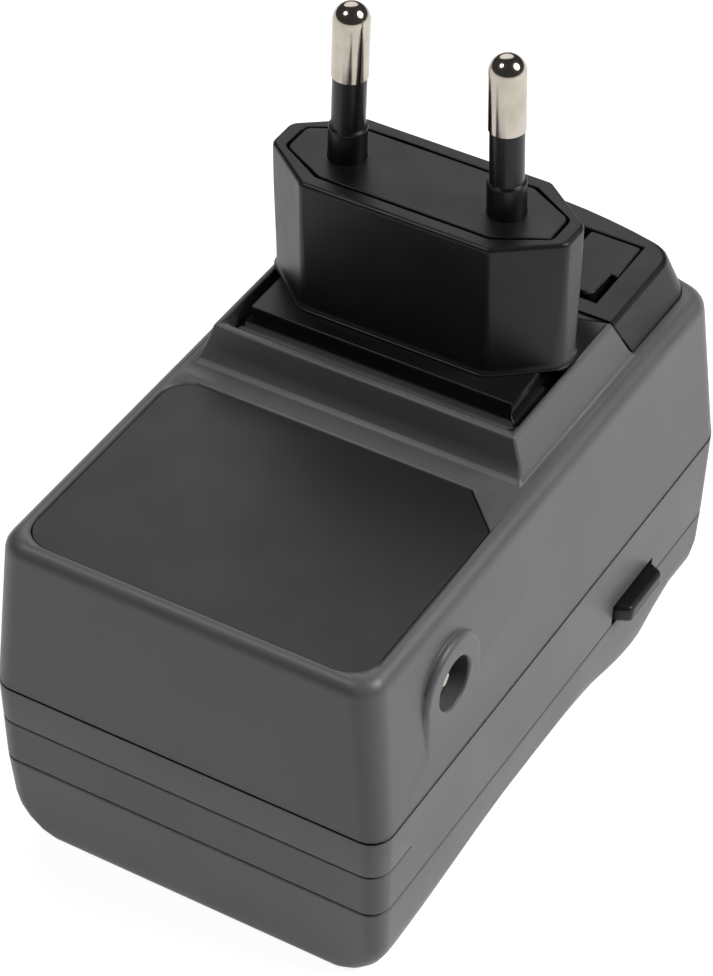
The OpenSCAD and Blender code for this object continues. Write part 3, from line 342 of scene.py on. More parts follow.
def ringStack(rings, hollow=False):
    # rings: array (rows, cols, 3), each row one closed ring; the first and last ring are capped flat,
    # or joined to each other where the shape is a hollow tube
    rows, cols = rings.shape[:2]
    faces = gridFaces(rows, cols).tolist()
    if hollow:
        j = np.arange(cols)
        last = (rows - 1) * cols
        faces += np.column_stack([last + j, last + (j + 1) % cols, (j + 1) % cols, j]).tolist()
    else:
        faces.append(list(range(cols))[::-1])
        faces.append([(rows - 1) * cols + j for j in range(cols)])
    return rings.reshape(-1, 3), faces


def turned(profile, sides):
    # point (i, j) = (r_i cos a_j, r_i sin a_j, z_i) with a_j = 2 pi j / sides
    p = np.asarray(profile, float)
    a = np.linspace(0, 2 * np.pi, sides, endpoint=False)
    rings = np.empty((len(p), sides, 3))
    rings[..., 0] = p[:, :1] * np.cos(a)
    rings[..., 1] = p[:, :1] * np.sin(a)
    rings[..., 2] = p[:, 1:2]
    return ringStack(rings)


def roundedCorner(x, z, r, a, b, n=6):
    # n+1 points (x + r cos t, z + r sin t), t from a to b degrees
    t = np.radians(np.linspace(a, b, n + 1))
    return np.column_stack([x + r * np.cos(t), z + r * np.sin(t)]).tolist()


def joinParts(parts):
    # one list of points and faces out of several, each part's faces counted on from the last
    points = np.concatenate([p for p, _ in parts])
    faces, start = [], 0
    for p, f in parts:
        faces += [[start + i for i in face] for face in f]
        start += len(p)
    return points, faces


soft = {
    "flatWeight": 80,       # how much broad faces count in the shading
    "merge": 0.002,         # mm; points closer than this become one
    "flat": 0.6,            # degrees; faces that meet flatter than this are joined
    "sharp": 32,            # degrees; edges sharper than this are rounded
    "segments": 3,
    "fine": 0.35,           # share of the rounding's width in the boxes named fine
}


def weighNormals(obj):
    # broad faces decide the shading of their corners, so flats stay flat beside roundings
    evened = obj.modifiers.new("evened", "WEIGHTED_NORMAL")
    evened.keep_sharp = True
    evened.weight = soft["flatWeight"]


def addPiece(name, shape, finish, body, stands, sharp=35):
    # new piece from points in mm and faces; it rides on body and stands in for the node named stands
    points, faces = shape
    mesh = bpy.data.meshes.new(name)
    mesh.from_pydata((points * mm).tolist(), [], faces)
    mesh.shade_smooth()
    mesh.set_sharp_from_angle(angle=math.radians(sharp))
    mesh.materials.append(material[finish])
    obj = bpy.data.objects.new(name, mesh)
    bpy.context.scene.collection.objects.link(obj)
    weighNormals(obj)
    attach(obj, body)
    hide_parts(stands)


def meshPoints(mesh):
    # all points of the mesh as one array (points, 3), in metres
    co = np.empty(len(mesh.vertices) * 3)
    mesh.vertices.foreach_get("co", co)
    return co.reshape(-1, 3)


def softCopy(node, finish, body, width, inside=(), fine=(), cut=None, move=None):
    # merged copy of a solid; its edges get a rounding of width mm, none in the boxes named inside
    # and a smaller one in the boxes named fine; cut changes its faces first, and move its points
    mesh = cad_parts[node].data.copy()
    mesh.name = node + "Soft"
    bm = bmesh.new()
    bm.from_mesh(mesh)
    bmesh.ops.remove_doubles(bm, verts=bm.verts, dist=soft["merge"] * mm)
    bmesh.ops.dissolve_limit(bm, angle_limit=math.radians(soft["flat"]), verts=bm.verts, edges=bm.edges)
    if cut:
        cut(bm)
    else:
        bmesh.ops.connect_verts_concave(bm, faces=[f for f in bm.faces if len(f.verts) > 4])
    bm.to_mesh(mesh)
    bm.free()
    if move:
        mesh.vertices.foreach_set("co", move(meshPoints(mesh)).ravel())
        mesh.update()
    mesh.materials.clear()
    mesh.materials.append(material[finish])
    mesh.shade_smooth()
    mesh.set_sharp_from_angle(angle=math.radians(soft["sharp"]))
    ends = np.empty(len(mesh.edges) * 2, int)
    mesh.edges.foreach_get("vertices", ends)
    middle = meshPoints(mesh)[ends.reshape(-1, 2)].mean(axis=1) / mm
    sharp = np.zeros(len(mesh.edges), bool)
    mesh.attributes["sharp_edge"].data.foreach_get("value", sharp)
    for low, high in inside:
        sharp &= ~np.all((middle > low) & (middle < high), axis=1)
    share = sharp.astype(np.float32)
    for low, high in fine:
        share[np.all((middle > low) & (middle < high), axis=1)] *= soft["fine"]
    weight = mesh.attributes.new("bevel_weight_edge", "FLOAT", "EDGE")
    weight.data.foreach_set("value", share)
    obj = bpy.data.objects.new(node + "Soft", mesh)
    bpy.context.scene.collection.objects.link(obj)
    rounding = obj.modifiers.new("rounding", "BEVEL")
    rounding.limit_method = "WEIGHT"
    rounding.width = width * mm
    rounding.segments = soft["segments"]
    rounding.use_clamp_overlap = False
    weighNormals(obj)
    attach(obj, body)
    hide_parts(node)


plate = {
    "halfWidth": 23.0, "draft": 0.55 / 11.4, "foot": -64.9,
    "near": -45, "far": 18.6, "rows": 40, "slack": 0.1,     # stretch of the long sides that is moved
    "inner": 15.5, "high": 7.7,     # its points lie farther out than inner, lower than high over the foot
    "round": 5.3, "more": 2.3, "growFrom": 46, "growLength": 28,
    "dip": 3.7, "dipAt": 9.5, "dipWidth": (9.0, 6.0),
}


def cutSides(bm):
    # the faces of both long sides are cut across at each row, so that their points can follow a curve
    low, inner = plate["foot"] * mm, plate["inner"] * mm
    high = low + plate["high"] * mm
    for y in np.linspace(plate["near"], plate["far"], plate["rows"]) * mm:
        faces = [f for f in bm.faces if abs(f.calc_center_median().x) > inner
                 and f.calc_center_median().z < high and abs(f.normal.y) < 0.5]
        near = list({e for f in faces for e in f.edges}) + list({v for f in faces for v in f.verts})
        bmesh.ops.bisect_plane(bm, geom=faces + near, plane_co=(0, y, 0), plane_no=(0, 1, 0), dist=1e-6)


def bulgeSides(points):
    # side points move to x = half - r + sqrt(r^2 - (r - h)^2), h above the foot, with
    # r = round + more * (3 k^2 - 2 k^3) - dip * exp(-((y - dipAt) / dipWidth)^2), one width each way,
    # where k grows from 0 to 1 over growLength
    p = plate
    side = (np.abs(points[:, 0]) > p["inner"] * mm) & (points[:, 2] < p["foot"] * mm + p["high"] * mm)
    side &= (points[:, 1] > (p["near"] - p["slack"]) * mm) & (points[:, 1] < (p["far"] + p["slack"]) * mm)
    x, y, z = points[side].T / mm
    h = z - p["foot"]
    k = np.clip((y + p["growFrom"]) / p["growLength"], 0, 1)
    r = p["round"] + p["more"] * (3 * k ** 2 - 2 * k ** 3)
    wide = np.where(y < p["dipAt"], *p["dipWidth"])
    r -= p["dip"] * np.exp(-((y - p["dipAt"]) / wide) ** 2)
    half = p["halfWidth"] + p["draft"] * h
    out = half - r + np.sqrt(np.maximum(r ** 2 - np.maximum(r - h, 0) ** 2, 0))
    points[side, 0] = np.sign(x) * out * mm
    return points


rim = {"strip": 0.3, "flatTop": 0.99}


def rimStrip(bm):
    # clean strip along the outline and the holes of the flat top, for an even rounding
    top = [f for f in bm.faces if f.normal.z > rim["flatTop"]]
    bmesh.ops.inset_region(bm, faces=top, thickness=rim["strip"] * mm, use_even_offset=True,
                           use_boundary=True)


# boxes whose edges stay unrounded, as (low corner, high corner) in mm; mostly insides
plain = {
    "rear_housing": [((-22.2, -48, -60), (22.2, 28.5, -24.35)), ((-14, -12, -60), (17, 30, -20.9)),
                     ((-23, -17.5, -24), (23, 30, -21.9))],
    "front_frame": [((-22.3, -47.9, -53.0), (22.3, 29, -40))],
    "battery_plate": [((-17, -37, -57.9), (17, 17, -50)), ((-12, -44, -57.9), (12, -38, -50)),
                      ((-12.6, -46.6, -58), (-8.6, -42.6, -50))],
    "adapter_base": [((-17.2, -11.8, -40), (17.2, 24, -19.6))],
    "plug_face": [((-12.4, -2.9, -20), (-6.6, 2.9, 2)), ((6.6, -2.9, -20), (12.4, 2.9, 2))],
}
padSteps = [((-18.5, -14, -21), (18.5, -9.5, -16.9))]
softCopy("rear_housing", "shell", "charger", 0.28, plain["rear_housing"])
softCopy("front_frame", "shell", "charger", 0.10, plain["front_frame"])
softCopy("battery_plate", "shell", "battery_plate", 0.16, plain["battery_plate"],
         cut=cutSides, move=bulgeSides)
softCopy("adapter_base", "black", "plug_adapter", 0.16, plain["adapter_base"], fine=padSteps)
softCopy("plug_face", "black", "plug_adapter", 0.12, plain["plug_face"], cut=rimStrip)
softCopy("latch_button", "black", "latch_button", 0.5)
softCopy("dc_socket", "inlet", "charger", 0.15)
softCopy("transformer_core", "ferrite", "charger", 0.15)
softCopy("transformer_bobbin", "bobbin", "charger", 0.15)
softCopy("control_chip", "chip", "charger", 0.06)
for node, body in (("catch_spring", "plug_adapter"), ("latch_spring", "charger")):
    softCopy(node, "spring", body, 0.05)
for node, body in (("adapter_contacts", "plug_adapter"), ("mains_contacts", "charger"),
                   ("battery_contacts", "battery_plate")):
    softCopy(node, "brass", body, 0.05)
print("shells softened")

plug = {
    "length": 35.3, "width": 13.7, "flat": 21.6, "tip": 2.6, "corner": 1.1, "footCorner": 2.4,
    "foot": -16.49, "edge": 0.55, "margin": 1.75, "recess": -3.08, "flare": 0.32, "flareHeight": 0.8,
    "even": 3,              # depth to which the corner stays small
    "flatPull": 0.45, "tipPull": 0.6,       # shares by which flats and tips draw in with the rest
    "arc": 9, "heel": 0.04, "lip": 0.12, "rim": 0.15, "wallFoot": -15, "levels": 13,
}


def plugRing(inset, z):
    # eight circles of radius r; ring = their outer arcs, each from one side's normal to the next
    # r grows from the top to the foot: corner + (footCorner - corner) * (3 k^2 - 2 k^3)
    k = min(max((-z - plug["even"]) / (-plug["foot"] - plug["even"]), 0), 1)
    r = plug["corner"] + (plug["footCorner"] - plug["corner"]) * (3 * k ** 2 - 2 * k ** 3)
    a = plug["length"] / 2 - r - inset
    b = plug["width"] / 2 - r - inset
    c = plug["flat"] / 2 - inset * plug["flatPull"] - (r - plug["corner"]) * plug["flatPull"]
    d = plug["tip"] / 2 - (r - plug["corner"]) * plug["tipPull"]
    centre = np.array([[a, -d], [a, d], [c, b], [-c, b], [-a, d], [-a, -d], [-c, -b], [c, -b]])
    along = np.roll(centre, -1, axis=0) - centre
    out = np.unwrap(np.arctan2(-along[:, 0], along[:, 1]))
    before = np.roll(out, 1)
    before[0] -= 2 * np.pi
    angle = before[:, None] + (out - before)[:, None] * np.linspace(0, 1, plug["arc"])
    ring = np.empty((len(centre), plug["arc"], 3))
    ring[..., 0] = centre[:, :1] + r * np.cos(angle)
    ring[..., 1] = centre[:, 1:] + r * np.sin(angle)
    ring[..., 2] = z
    return ring.reshape(-1, 3)


def plugShape():
    # flare at the foot, outer wall, quarter round, top border, small round, inner wall to the recess's floor
    e, m, low, f, h = plug["edge"], plug["margin"], plug["foot"], plug["flare"], plug["flareHeight"]
    heel, lip, bend = plug["heel"], plug["lip"], plug["rim"]
    path = [(heel - f, low), (-f, low + heel), (-f, low + lip)]
    path += [(f * (math.sin(t) - 1), low + lip + h * (1 - math.cos(t)))
             for t in np.linspace(0.2, math.pi / 2, 7)]
    path += [(0.0, z) for z in np.linspace(plug["wallFoot"], -plug["even"], plug["levels"])]
    path += [(e * (1 - math.cos(t)), -e * (1 - math.sin(t))) for t in np.linspace(0, math.pi / 2, 9)]
    path += [(m - bend + bend * math.sin(t), -bend * (1 - math.cos(t)))
             for t in np.linspace(0, math.pi / 2, 5)]
    path += [(m, plug["recess"])]
    return ringStack(np.stack([plugRing(inset, z) for inset, z in path]))


addPiece("plugShell", plugShape(), "black", "plug_adapter", "plug_body")

pins = {
    "spacing": 19.0, "tipSpacing": 17.9, "length": 19.0, "radius": 2.0, "core": 1.35, "root": -13.0,
    "sleeveEnd": 10.2, "sleeveRadius": 1.83, "collarRadius": 2.1, "collarTop": 3.9, "seat": -2.9,
    "chamfer": 0.1, "shoulder": 0.2, "fillet": 0.06, "endRound": 0.12, "endRise": 0.15, "gap": 0.03,
}


def leaned(shape, side):
    # points turned about Y by the pin's lean and carried to its foot
    points, faces = shape
    lean = -side * math.atan((pins["spacing"] - pins["tipSpacing"]) / 2 / pins["length"])
    c, s = math.cos(lean), math.sin(lean)
    turn = np.array([[c, 0, s], [0, 1, 0], [-s, 0, c]])
    return points @ turn.T + [side * pins["spacing"] / 2, 0, 0], faces


def pinShape():
    # thin core, then the bare pin: chamfered foot, straight wall, half-round tip
    r, e, n = pins["radius"], pins["sleeveEnd"], pins["length"]
    chamfer = pins["chamfer"]
    path = [(pins["core"], pins["root"]), (pins["core"], e)]
    path += [(r - chamfer, e + hair), (r, e + chamfer)]
    path += [(r, z) for z in np.linspace(e + 1, n - r - 0.5, 8)]
    path += [(r * math.cos(t), n - r + r * math.sin(t)) for t in np.linspace(0, 1.52, 22)]
    return turned(path, 72)


def sleeveShape():
    # collar with a rounded shoulder, slimmer sleeve above it, small round at its end
    c, r, top, end = pins["collarRadius"], pins["sleeveRadius"], pins["collarTop"], pins["sleeveEnd"]
    shoulder, fillet, edge, rise = pins["shoulder"], pins["fillet"], pins["endRound"], pins["endRise"]
    bore = pins["core"] + pins["gap"]
    path = [(bore, pins["seat"]), (c, pins["seat"]), (c, 0), (c, top - shoulder)]
    path += roundedCorner(c - shoulder, top - shoulder, shoulder, 0, 90, 4)
    path += [(r + fillet, top), (r, top + fillet), (r, end - rise)]
    path += roundedCorner(r - edge, end - rise, edge, 0, 90, 4)
    path += [(bore, end - pins["gap"])]
    return turned(path, 72)


for side, word in ((-1, "left"), (1, "right")):
    addPiece("bare" + word.capitalize() + "Pin", leaned(pinShape(), side), "pin", "plug_adapter",
             "pin_" + word, 40)
    addPiece(word + "Sleeve", leaned(sleeveShape(), side), "sleeve", "plug_adapter",
             "sleeve_" + word, 40)
print("plug done")

panel = {
    "halfWidth": 20.3, "near": -47.0, "far": -17.2, "corner": 3.4, "cut": 4.7,
    "top": -22.5, "thick": 0.6, "edge": 0.12,
}


def panelRing(inset, z):
    # three round corners and one cut corner, drawn in by inset
    w, r = panel["halfWidth"] - inset, panel["corner"] - inset
    near, far = panel["near"] + inset, panel["far"] - inset
    cut = panel["cut"] - inset * (math.sqrt(2) - 1)
    ring = [(w, far - cut), (w - cut, far)]
    ring += roundedCorner(r - w, far - r, r, 90, 180, 12)
    ring += roundedCorner(r - w, near + r, r, 180, 270, 12)
    ring += roundedCorner(w - r, near + r, r, 270, 360, 12)
    return np.column_stack([np.array(ring), np.full(len(ring), z)])


def panelShape():
    # flat plate, quarter round along its upper edge
    t, e = panel["top"], panel["edge"]
    path = [(0.0, t - panel["thick"]), (0.0, t - e)]
    path += [(e * (1 - math.cos(a)), t - e * (1 - math.sin(a))) for a in np.linspace(0.2, math.pi / 2, 5)]
    return ringStack(np.stack([panelRing(inset, z) for inset, z in path]))


addPiece("barePanel", panelShape(), "panel", "charger", "rating_panel")
print("panel done")

tab = {
    "left": 8.6, "mid": 14.0, "right": 14.8, "near": 11.7, "step": 16.2, "far": 22.0, "top": -17.35,
    "corner": 1.3, "smallCorner": 0.4, "nick": 0.05, "edge": 0.18, "sunk": 0.2,
    "flange": (6.7, 15.7, 10.2, 22.8), "flangeZ": (-19.8, -19.0), "flangeCorner": 0.3, "flangeEdge": 0.1,
    "ribLeft": 0.3, "ribRight": 0.75, "ribNear": 0.1, "ribFar": 0.7,        # from the tab's own edges
    "ribTop": -17.1, "ribSunk": 0.3, "ribCorner": 0.25, "ribEdge": 0.2,
}


def boxRing(x0, x1, y0, y1, r, inset, z):
    # rectangle with four round corners, drawn in by inset
    x0, x1, y0, y1, r = x0 + inset, x1 - inset, y0 + inset, y1 - inset, max(r - inset, 0.02)
    ring = roundedCorner(x1 - r, y1 - r, r, 0, 90) + roundedCorner(x0 + r, y1 - r, r, 90, 180)
    ring += roundedCorner(x0 + r, y0 + r, r, 180, 270) + roundedCorner(x1 - r, y0 + r, r, 270, 360)
    return np.column_stack([np.array(ring), np.full(len(ring), z)])


def tabRing(inset, z):
    # outline with a step in its right side, drawn in by inset; its near right corner is the large one
    t = tab
    left, mid, right = t["left"] + inset, t["mid"] - inset, t["right"] - inset
    near, step, far = t["near"] + inset, t["step"] + inset, t["far"] - inset
    c, e, nick = t["corner"] - inset, t["smallCorner"] - inset, t["nick"]
    ring = roundedCorner(right - e, far - e, e, 0, 90) + roundedCorner(left + e, far - e, e, 90, 180)
    ring += roundedCorner(left + e, near + e, e, 180, 270) + roundedCorner(mid - c, near + c, c, 270, 360)
    ring += [(mid, step - nick), (mid + nick, step), (right - nick, step), (right, step + nick)]
    return np.column_stack([np.array(ring), np.full(len(ring), z)])


def edgePath(low, high, e):
    # straight wall from low, then a quarter round of radius e to the height high
    angles = np.linspace(0.25, math.pi / 2, 6)
    path = [(0.0, low), (0.0, high - e)]
    return path + [(e * (1 - math.cos(a)), high - e * (1 - math.sin(a))) for a in angles]


def tabShape():
    # flange under the window, the tab on it and the thumb rib at its near end
    t = tab
    low, high = t["flangeZ"]
    path = edgePath(low, high, t["flangeEdge"])
    flange = [boxRing(*t["flange"], t["flangeCorner"], i, z) for i, z in path]
    path = edgePath(high - t["sunk"], t["top"], t["edge"])
    pad = [tabRing(i, z) for i, z in path]
    place = (t["left"] + t["ribLeft"], t["mid"] - t["ribRight"],
             t["near"] + t["ribNear"], t["near"] + t["ribFar"])
    path = edgePath(t["top"] - t["ribSunk"], t["ribTop"], t["ribEdge"])
    rib = [boxRing(*place, t["ribCorner"], i, z) for i, z in path]
    return joinParts([ringStack(np.stack(rings)) for rings in (flange, pad, rib)])


addPiece("tabPlate", tabShape(), "black", "release_tab", "release_tab")

board = {"top": -45.6, "foot": -47.2}       # heights of the circuit board's faces, where its parts stand


def moved(shape, x, y, z):
    # the same shape, carried by (x, y, z)
    return shape[0] + [x, y, z], shape[1]


cans = {
    "input": (-13.5, 7.0, 10.0, 16.0), "output": (-15.0, -33.0, 6.3, 11.0),     # x, y, across, height
    "chamfer": 0.3, "crimpFrom": 1.6, "crimpHeight": 0.6, "crimpDepth": 0.25, "crimpLead": 0.1,
    "roll": 0.35, "rollLead": 0.05, "ring": (0.7, 0.85, 0.12), "middle": 0.2, "sleeveShort": 0.2,
}
canLook = {
    "dark": (0.014, 0.018, 0.045), "light": (0.02, 0.026, 0.06), "metal": (0.72, 0.72, 0.73),
    "patch": 2, "rough": (0.22, 0.34), "depth": 0.02, "soft": 0.02,
}


def canShape(x, y, across, height):
    # rolled can: round foot, crimp, straight wall, rolled top edge, sunk top with a pressed ring
    r, low, edge = across / 2, cans["crimpFrom"], cans["roll"]
    start, end, sunk = cans["ring"]
    path = [(r - cans["chamfer"], 0), (r, cans["chamfer"]), (r, low - cans["crimpLead"])]
    path += [(r - cans["crimpDepth"] * math.sin(t), low + cans["crimpHeight"] * t / math.pi)
             for t in np.linspace(0, math.pi, 9)]
    path += [(r, height - edge - cans["rollLead"])] + roundedCorner(r - edge, height - edge, edge, 0, 90, 6)
    path += [(r - start, height), (r - end, height - sunk), (cans["middle"] * r, height - sunk)]
    return moved(turned(path, 64), x, y, board["top"])


for word in ("input", "output"):
    can = cans[word]
    look = {**canLook, "name": word + "CanFinish", "top": board["top"] + can[3] - cans["sleeveShort"]}
    material[word + "Can"] = canMaterial(look)
    addPiece(word + "Can", canShape(*can), word + "Can", "charger", word + "_capacitor")

coil = {
    "middle": (0.0, -15.0), "half": (5.05, 6.05), "bore": (2.4, 3.6), "foot": -40.2, "height": 7.0,
    "end": 0.05, "turn": 0.5, "ripple": 0.012, "square": 5.0, "boreSquare": 14.0,
}


def coilShape():
    # tube of rounded rectangles |x/hx|^n + |y/hy|^n = 1, n = square outside and boreSquare inside;
    # outside, hx and hy shrink by ripple * |cos(pi z / turn)|, and the bore is plain
    t = np.linspace(0, 2 * np.pi, 96, endpoint=False)
    c, s = np.cos(t), np.sin(t)
    z = np.linspace(coil["end"], coil["height"] - coil["end"], 71)
    size = 1 - coil["ripple"] * np.abs(np.cos(np.pi * z / coil["turn"]))
    hx = np.concatenate([coil["half"][0] * size, [coil["bore"][0]] * 2])
    hy = np.concatenate([coil["half"][1] * size, [coil["bore"][1]] * 2])
    z = np.concatenate([z, [z[-1], z[0]]])
    n = np.concatenate([np.full(len(size), coil["square"]), [coil["boreSquare"]] * 2])[:, None]
    ease = (np.abs(c) ** n + np.abs(s) ** n) ** (-1 / n)
    rings = np.empty((len(z), len(t), 3))
    rings[..., 0] = coil["middle"][0] + hx[:, None] * c * ease
    rings[..., 1] = coil["middle"][1] + hy[:, None] * s * ease
    rings[..., 2] = coil["foot"] + z[:, None]
    return ringStack(rings, hollow=True)


addPiece("woundCoil", coilShape(), "coil", "charger", "transformer_coil")

indicator = {
    "x": -10.65, "y": -44.6, "height": 1.2, "dome": 0.3, "straight": 0.5, "slimmer": 0.2,
    "rodRadius": 1.5, "rodFoot": -64.5, "rodGap": 1.3, "rodDome": 0.25, "rodFullness": 0.96,
}


def rodShape():
    # clear rod; its foot is domed: z = foot + dome * (1 - sqrt(1 - fullness * k^2)) at k times its radius
    low, high, r = indicator["rodFoot"], board["foot"] - indicator["rodGap"], indicator["rodRadius"]
    path = [(r * k, low + indicator["rodDome"] * (1 - math.sqrt(1 - k * k * indicator["rodFullness"])))
            for k in (0.03, 0.3, 0.6, 0.85, 1)]
    path += [(r, (low + high) / 2)] + [(r * k, high) for k in (1, 0.5)]
    return moved(turned(path, 48), indicator["x"], indicator["y"], 0)


def lampShape():
    # small round lamp under the board; its face rises by dome * k^4 at k times its radius
    high, r = board["foot"], indicator["rodRadius"] - indicator["slimmer"]
    path = [(r * k, high - indicator["height"] + indicator["dome"] * k ** 4)
            for k in (0.03, 0.4, 0.7, 0.9, 1)]
    path += [(r, high - indicator["straight"]), (r, high)]
    return moved(turned(path, 48), indicator["x"], indicator["y"], 0)


addPiece("clearRod", rodShape(), "rod", "battery_plate", "light_pipe")
addPiece("chargeLamp", lampShape(), "lamp", "charger", "status_led")

screws = {
    "places": ((-18.0, -44.3), (18.0, -44.3), (-18.0, 21.5), (18.0, 21.5)),
    "seat": -50.95, "headRadius": 2.4, "headHeight": 2.0, "radius": 1.3, "tip": -36.6, "pitch": 0.9,
    "dome": 0.02, "headRound": 0.35, "headSide": 0.45,
    "crossDepth": 0.9, "crossHalf": 0.36, "crossLength": 1.45, "crossSoft": (0.04, 0.06),
    "plainRows": 28, "plain": 0.96, "root": 0.86, "ridge": 0.14, "threadFrom": 4, "threadEase": 1.5,
    "point": 1.2, "blunt": 0.25,
}


def headShape():
    # face = -headHeight + dome * rho^2 + dip; dip = crossDepth where |x| or |y| is under crossHalf and
    # rho under crossLength, with soft edges; then the rounded side down to the shank
    s = screws
    bend, (ease, endEase) = s["headRound"], s["crossSoft"]
    rho = np.concatenate([np.linspace(0.02, 1.7, 26), np.linspace(1.8, s["headRadius"] - bend, 4)])
    a = np.linspace(0, 2 * np.pi, 96, endpoint=False)
    x, y = rho[:, None] * np.cos(a), rho[:, None] * np.sin(a)
    bar = np.minimum(np.abs(x), np.abs(y))
    dip = s["crossDepth"] / (1 + np.exp((bar - s["crossHalf"]) / ease))
    dip /= 1 + np.exp((rho[:, None] - s["crossLength"]) / endEase)
    top = np.stack([x, -y, -s["headHeight"] + s["dome"] * rho[:, None] ** 2 + dip], axis=-1)
    t = np.linspace(0, np.pi / 2, 6)[1:]
    side = np.column_stack([s["headRadius"] - bend * (1 - np.sin(t)),
                            -s["headHeight"] + s["headSide"] - bend * np.cos(t)])
    side = np.concatenate([side, [[s["headRadius"], 0], [s["radius"], hair]]])
    wall = np.stack([side[:, :1] * np.cos(a), -side[:, :1] * np.sin(a),
                     np.repeat(side[:, 1:], len(a), 1)], axis=-1)
    points, faces = ringStack(np.concatenate([top, wall]))
    return points, [f[::-1] for f in faces]


def threadShape():
    # shank radius = radius * (root + ridge * w); w = 1 - 4 |phase - 0.5|, at least 0, with
    # phase = the fraction of z / pitch + a / (2 pi); plain near the head, drawn in at the tip
    s = screws
    z = np.linspace(0, s["tip"] - s["seat"], 150)
    a = np.linspace(0, 2 * np.pi, 32, endpoint=False)
    phase = (z[:, None] / s["pitch"] + a / (2 * np.pi)) % 1
    w = np.clip(1 - 4 * np.abs(phase - 0.5), 0, 1)
    w *= np.clip((z[:, None] - s["threadFrom"]) / s["threadEase"], 0, 1)
    r = s["root"] * s["radius"] + s["ridge"] * s["radius"] * w
    r[:s["plainRows"]] = s["radius"] * s["plain"]
    r *= np.clip((z[-1] - z[:, None]) / s["point"] + s["blunt"], 0, 1)
    rings = np.stack([r * np.cos(a), r * np.sin(a), np.repeat(z[:, None], len(a), 1)], axis=-1)
    return ringStack(rings)


parts = []
for x, y in screws["places"]:
    parts += [moved(headShape(), x, y, screws["seat"]), moved(threadShape(), x, y, screws["seat"])]
addPiece("housingScrews", joinParts(parts), "screw", "charger", "housing_screws", 50)

pogo = {
    "places": (-5.0, 0.0, 5.0), "y": -42.2, "foot": -53.55, "radius": 0.9,
    "tip": ((0.6, 0.08), (0.92, 0.35), (1, 0.7)),       # share of the radius, and height over the foot
    "collar": -51.75, "collarWidth": 0.5, "collarHeight": 1.2, "bevel": 0.08,
}


def pogoShape():
    # sprung pin: rounded tip, slim barrel, collar with two small rounds
    p = pogo
    r, k, b = p["radius"], p["collar"], p["bevel"]
    wide, top = r + p["collarWidth"], k + p["collarHeight"]
    path = [(0.05, p["foot"])] + [(r * share, p["foot"] + up) for share, up in p["tip"]]
    path += [(r, k), (wide - b, k + hair), (wide, k + b), (wide, top - b), (wide - b, top)]
    path += [(r, top + hair), (r, board["foot"])]
    return turned(path, 48)


parts = [moved(pogoShape(), x, pogo["y"], 0) for x in pogo["places"]]
addPiece("sprungPins", joinParts(parts), "brass", "charger", "transfer_contacts", 40)

socketPin = {"start": 9.6, "tip": 22.51, "y": -34.2, "z": -32.0, "radius": 1.0, "round": 0.5}


def socketPinShape():
    # round pin along X with a rounded tip; Z of the turned shape becomes X
    s = socketPin
    r, e, end = s["radius"], s["round"], s["tip"] - s["round"]
    path = [(r, s["start"]), (r, end)]
    path += [(r - e + e * math.cos(t), end + e * math.sin(t)) for t in np.linspace(0, 1.5, 8)]
    points, faces = turned(path, 48)
    return np.column_stack([points[:, 2], points[:, 0] + s["y"], points[:, 1] + s["z"]]), faces


addPiece("socketPin", socketPinShape(), "pin", "charger", "dc_socket_pin", 40)
print("inside done")

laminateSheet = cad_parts["circuit_board"].data
laminateSheet.materials.clear()
laminateSheet.materials.append(material["board"])

# studio: pale floor, white seen by the camera, soft boxes
floorZ = cadBox[0][2]
light = {
    "world": 0.06,
    "key": (0.46, 0.16, 0.42, 0.36, 3.4),       # place, size and power: large soft box right of the charger
    "sky": (-0.42, 0.62, 0.66, 0.90, 2.9),      # wide pale screen behind, mirrored by the faces that look up
    "front": (-0.365, -0.42, 0.77, 0.30, 2.0),  # soft box over the near left, mirrored by the coved slope
    "aim": (0, -0.01, -0.04),
}
floorLook = {
    "colour": (0.40, 0.40, 0.40, 1), "rough": 0.8, "lift": 0.88,        # lift: white added for the camera
    "half": 9, "gap": 0.0001,       # metres: half its side, and its drop below the charger's foot
}


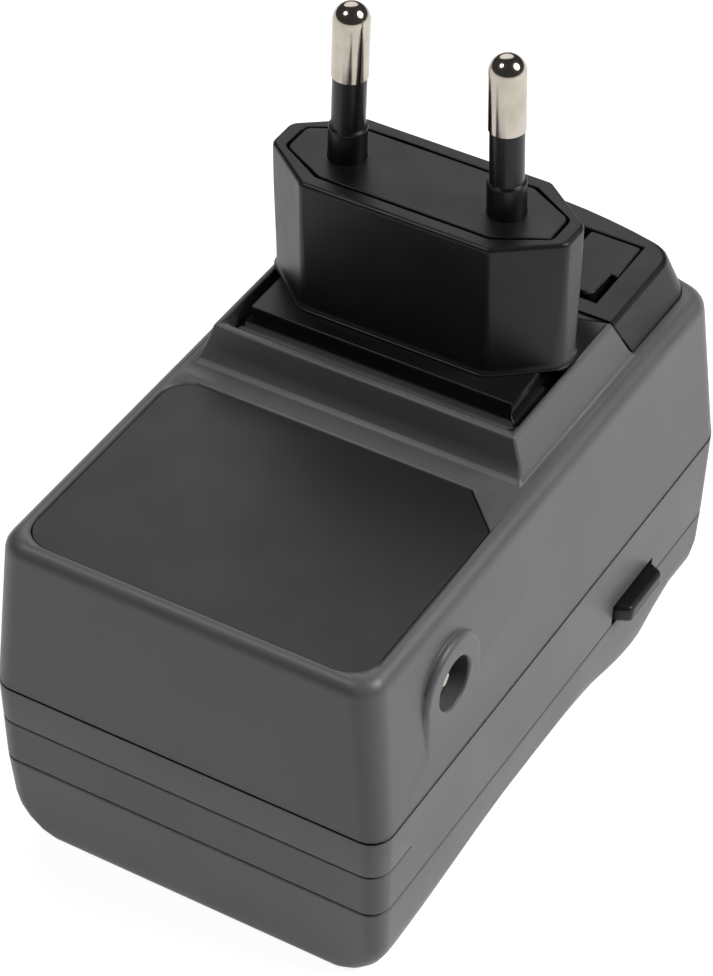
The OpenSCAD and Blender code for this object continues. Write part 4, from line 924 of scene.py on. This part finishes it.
def softBox(name, x, y, z, size, watts):
    # round area lamp at (x, y, z), turned towards the charger
    lamp = bpy.data.lights.new(name, "AREA")
    lamp.shape = "DISK"
    lamp.size = size
    lamp.energy = watts
    obj = bpy.data.objects.new(name, lamp)
    obj.location = (x, y, z)
    obj.rotation_euler = (Vector(light["aim"]) - obj.location).to_track_quat("-Z", "Y").to_euler()
    bpy.context.scene.collection.objects.link(obj)


for name in ("key", "sky", "front"):
    softBox(name, *light[name])
world = bpy.data.worlds.new("studio")
bpy.context.scene.world = world
world.use_nodes = True
sky = world.node_tree.nodes["Background"]
sky.inputs["Color"].default_value = (1, 1, 1, 1)
sky.inputs["Strength"].default_value = light["world"]

mesh = bpy.data.meshes.new("floor")
half, level = floorLook["half"], floorZ - floorLook["gap"]
mesh.from_pydata([(-half, -half, level), (half, -half, level), (half, half, level), (-half, half, level)],
                 [], [(0, 1, 2, 3)])
floor = bpy.data.objects.new("floor", mesh)
bpy.context.scene.collection.objects.link(floor)


def whiteFloor(look):
    # pale diffuse floor that keeps the shadow; camera, glossy and transmission rays see it lifted to white
    m, nodes, link, shader, _ = startMaterial("floorFinish")
    shader.inputs["Base Color"].default_value = look["colour"]
    shader.inputs["Roughness"].default_value = look["rough"]
    path = nodes.new("ShaderNodeLightPath")
    rays = path.outputs["Is Camera Ray"]
    for word in ("Is Glossy Ray", "Is Transmission Ray"):
        most = nodes.new("ShaderNodeMath")
        most.operation = "MAXIMUM"
        link(rays, most.inputs[0])
        link(path.outputs[word], most.inputs[1])
        rays = most.outputs[0]
    amount = nodes.new("ShaderNodeMath")
    amount.operation = "MULTIPLY"
    amount.inputs[1].default_value = look["lift"]
    link(rays, amount.inputs[0])
    white = nodes.new("ShaderNodeEmission")
    white.inputs["Color"].default_value = (1, 1, 1, 1)
    link(amount.outputs[0], white.inputs["Strength"])
    both = nodes.new("ShaderNodeAddShader")
    link(shader.outputs[0], both.inputs[0])
    link(white.outputs[0], both.inputs[1])
    link(both.outputs[0], nodes["Material Output"].inputs["Surface"])
    return m


mesh.materials.append(whiteFloor(floorLook))
print("light and floor done")

bpy.context.scene.view_settings.view_transform = "Standard"
bpy.context.view_layer.update()
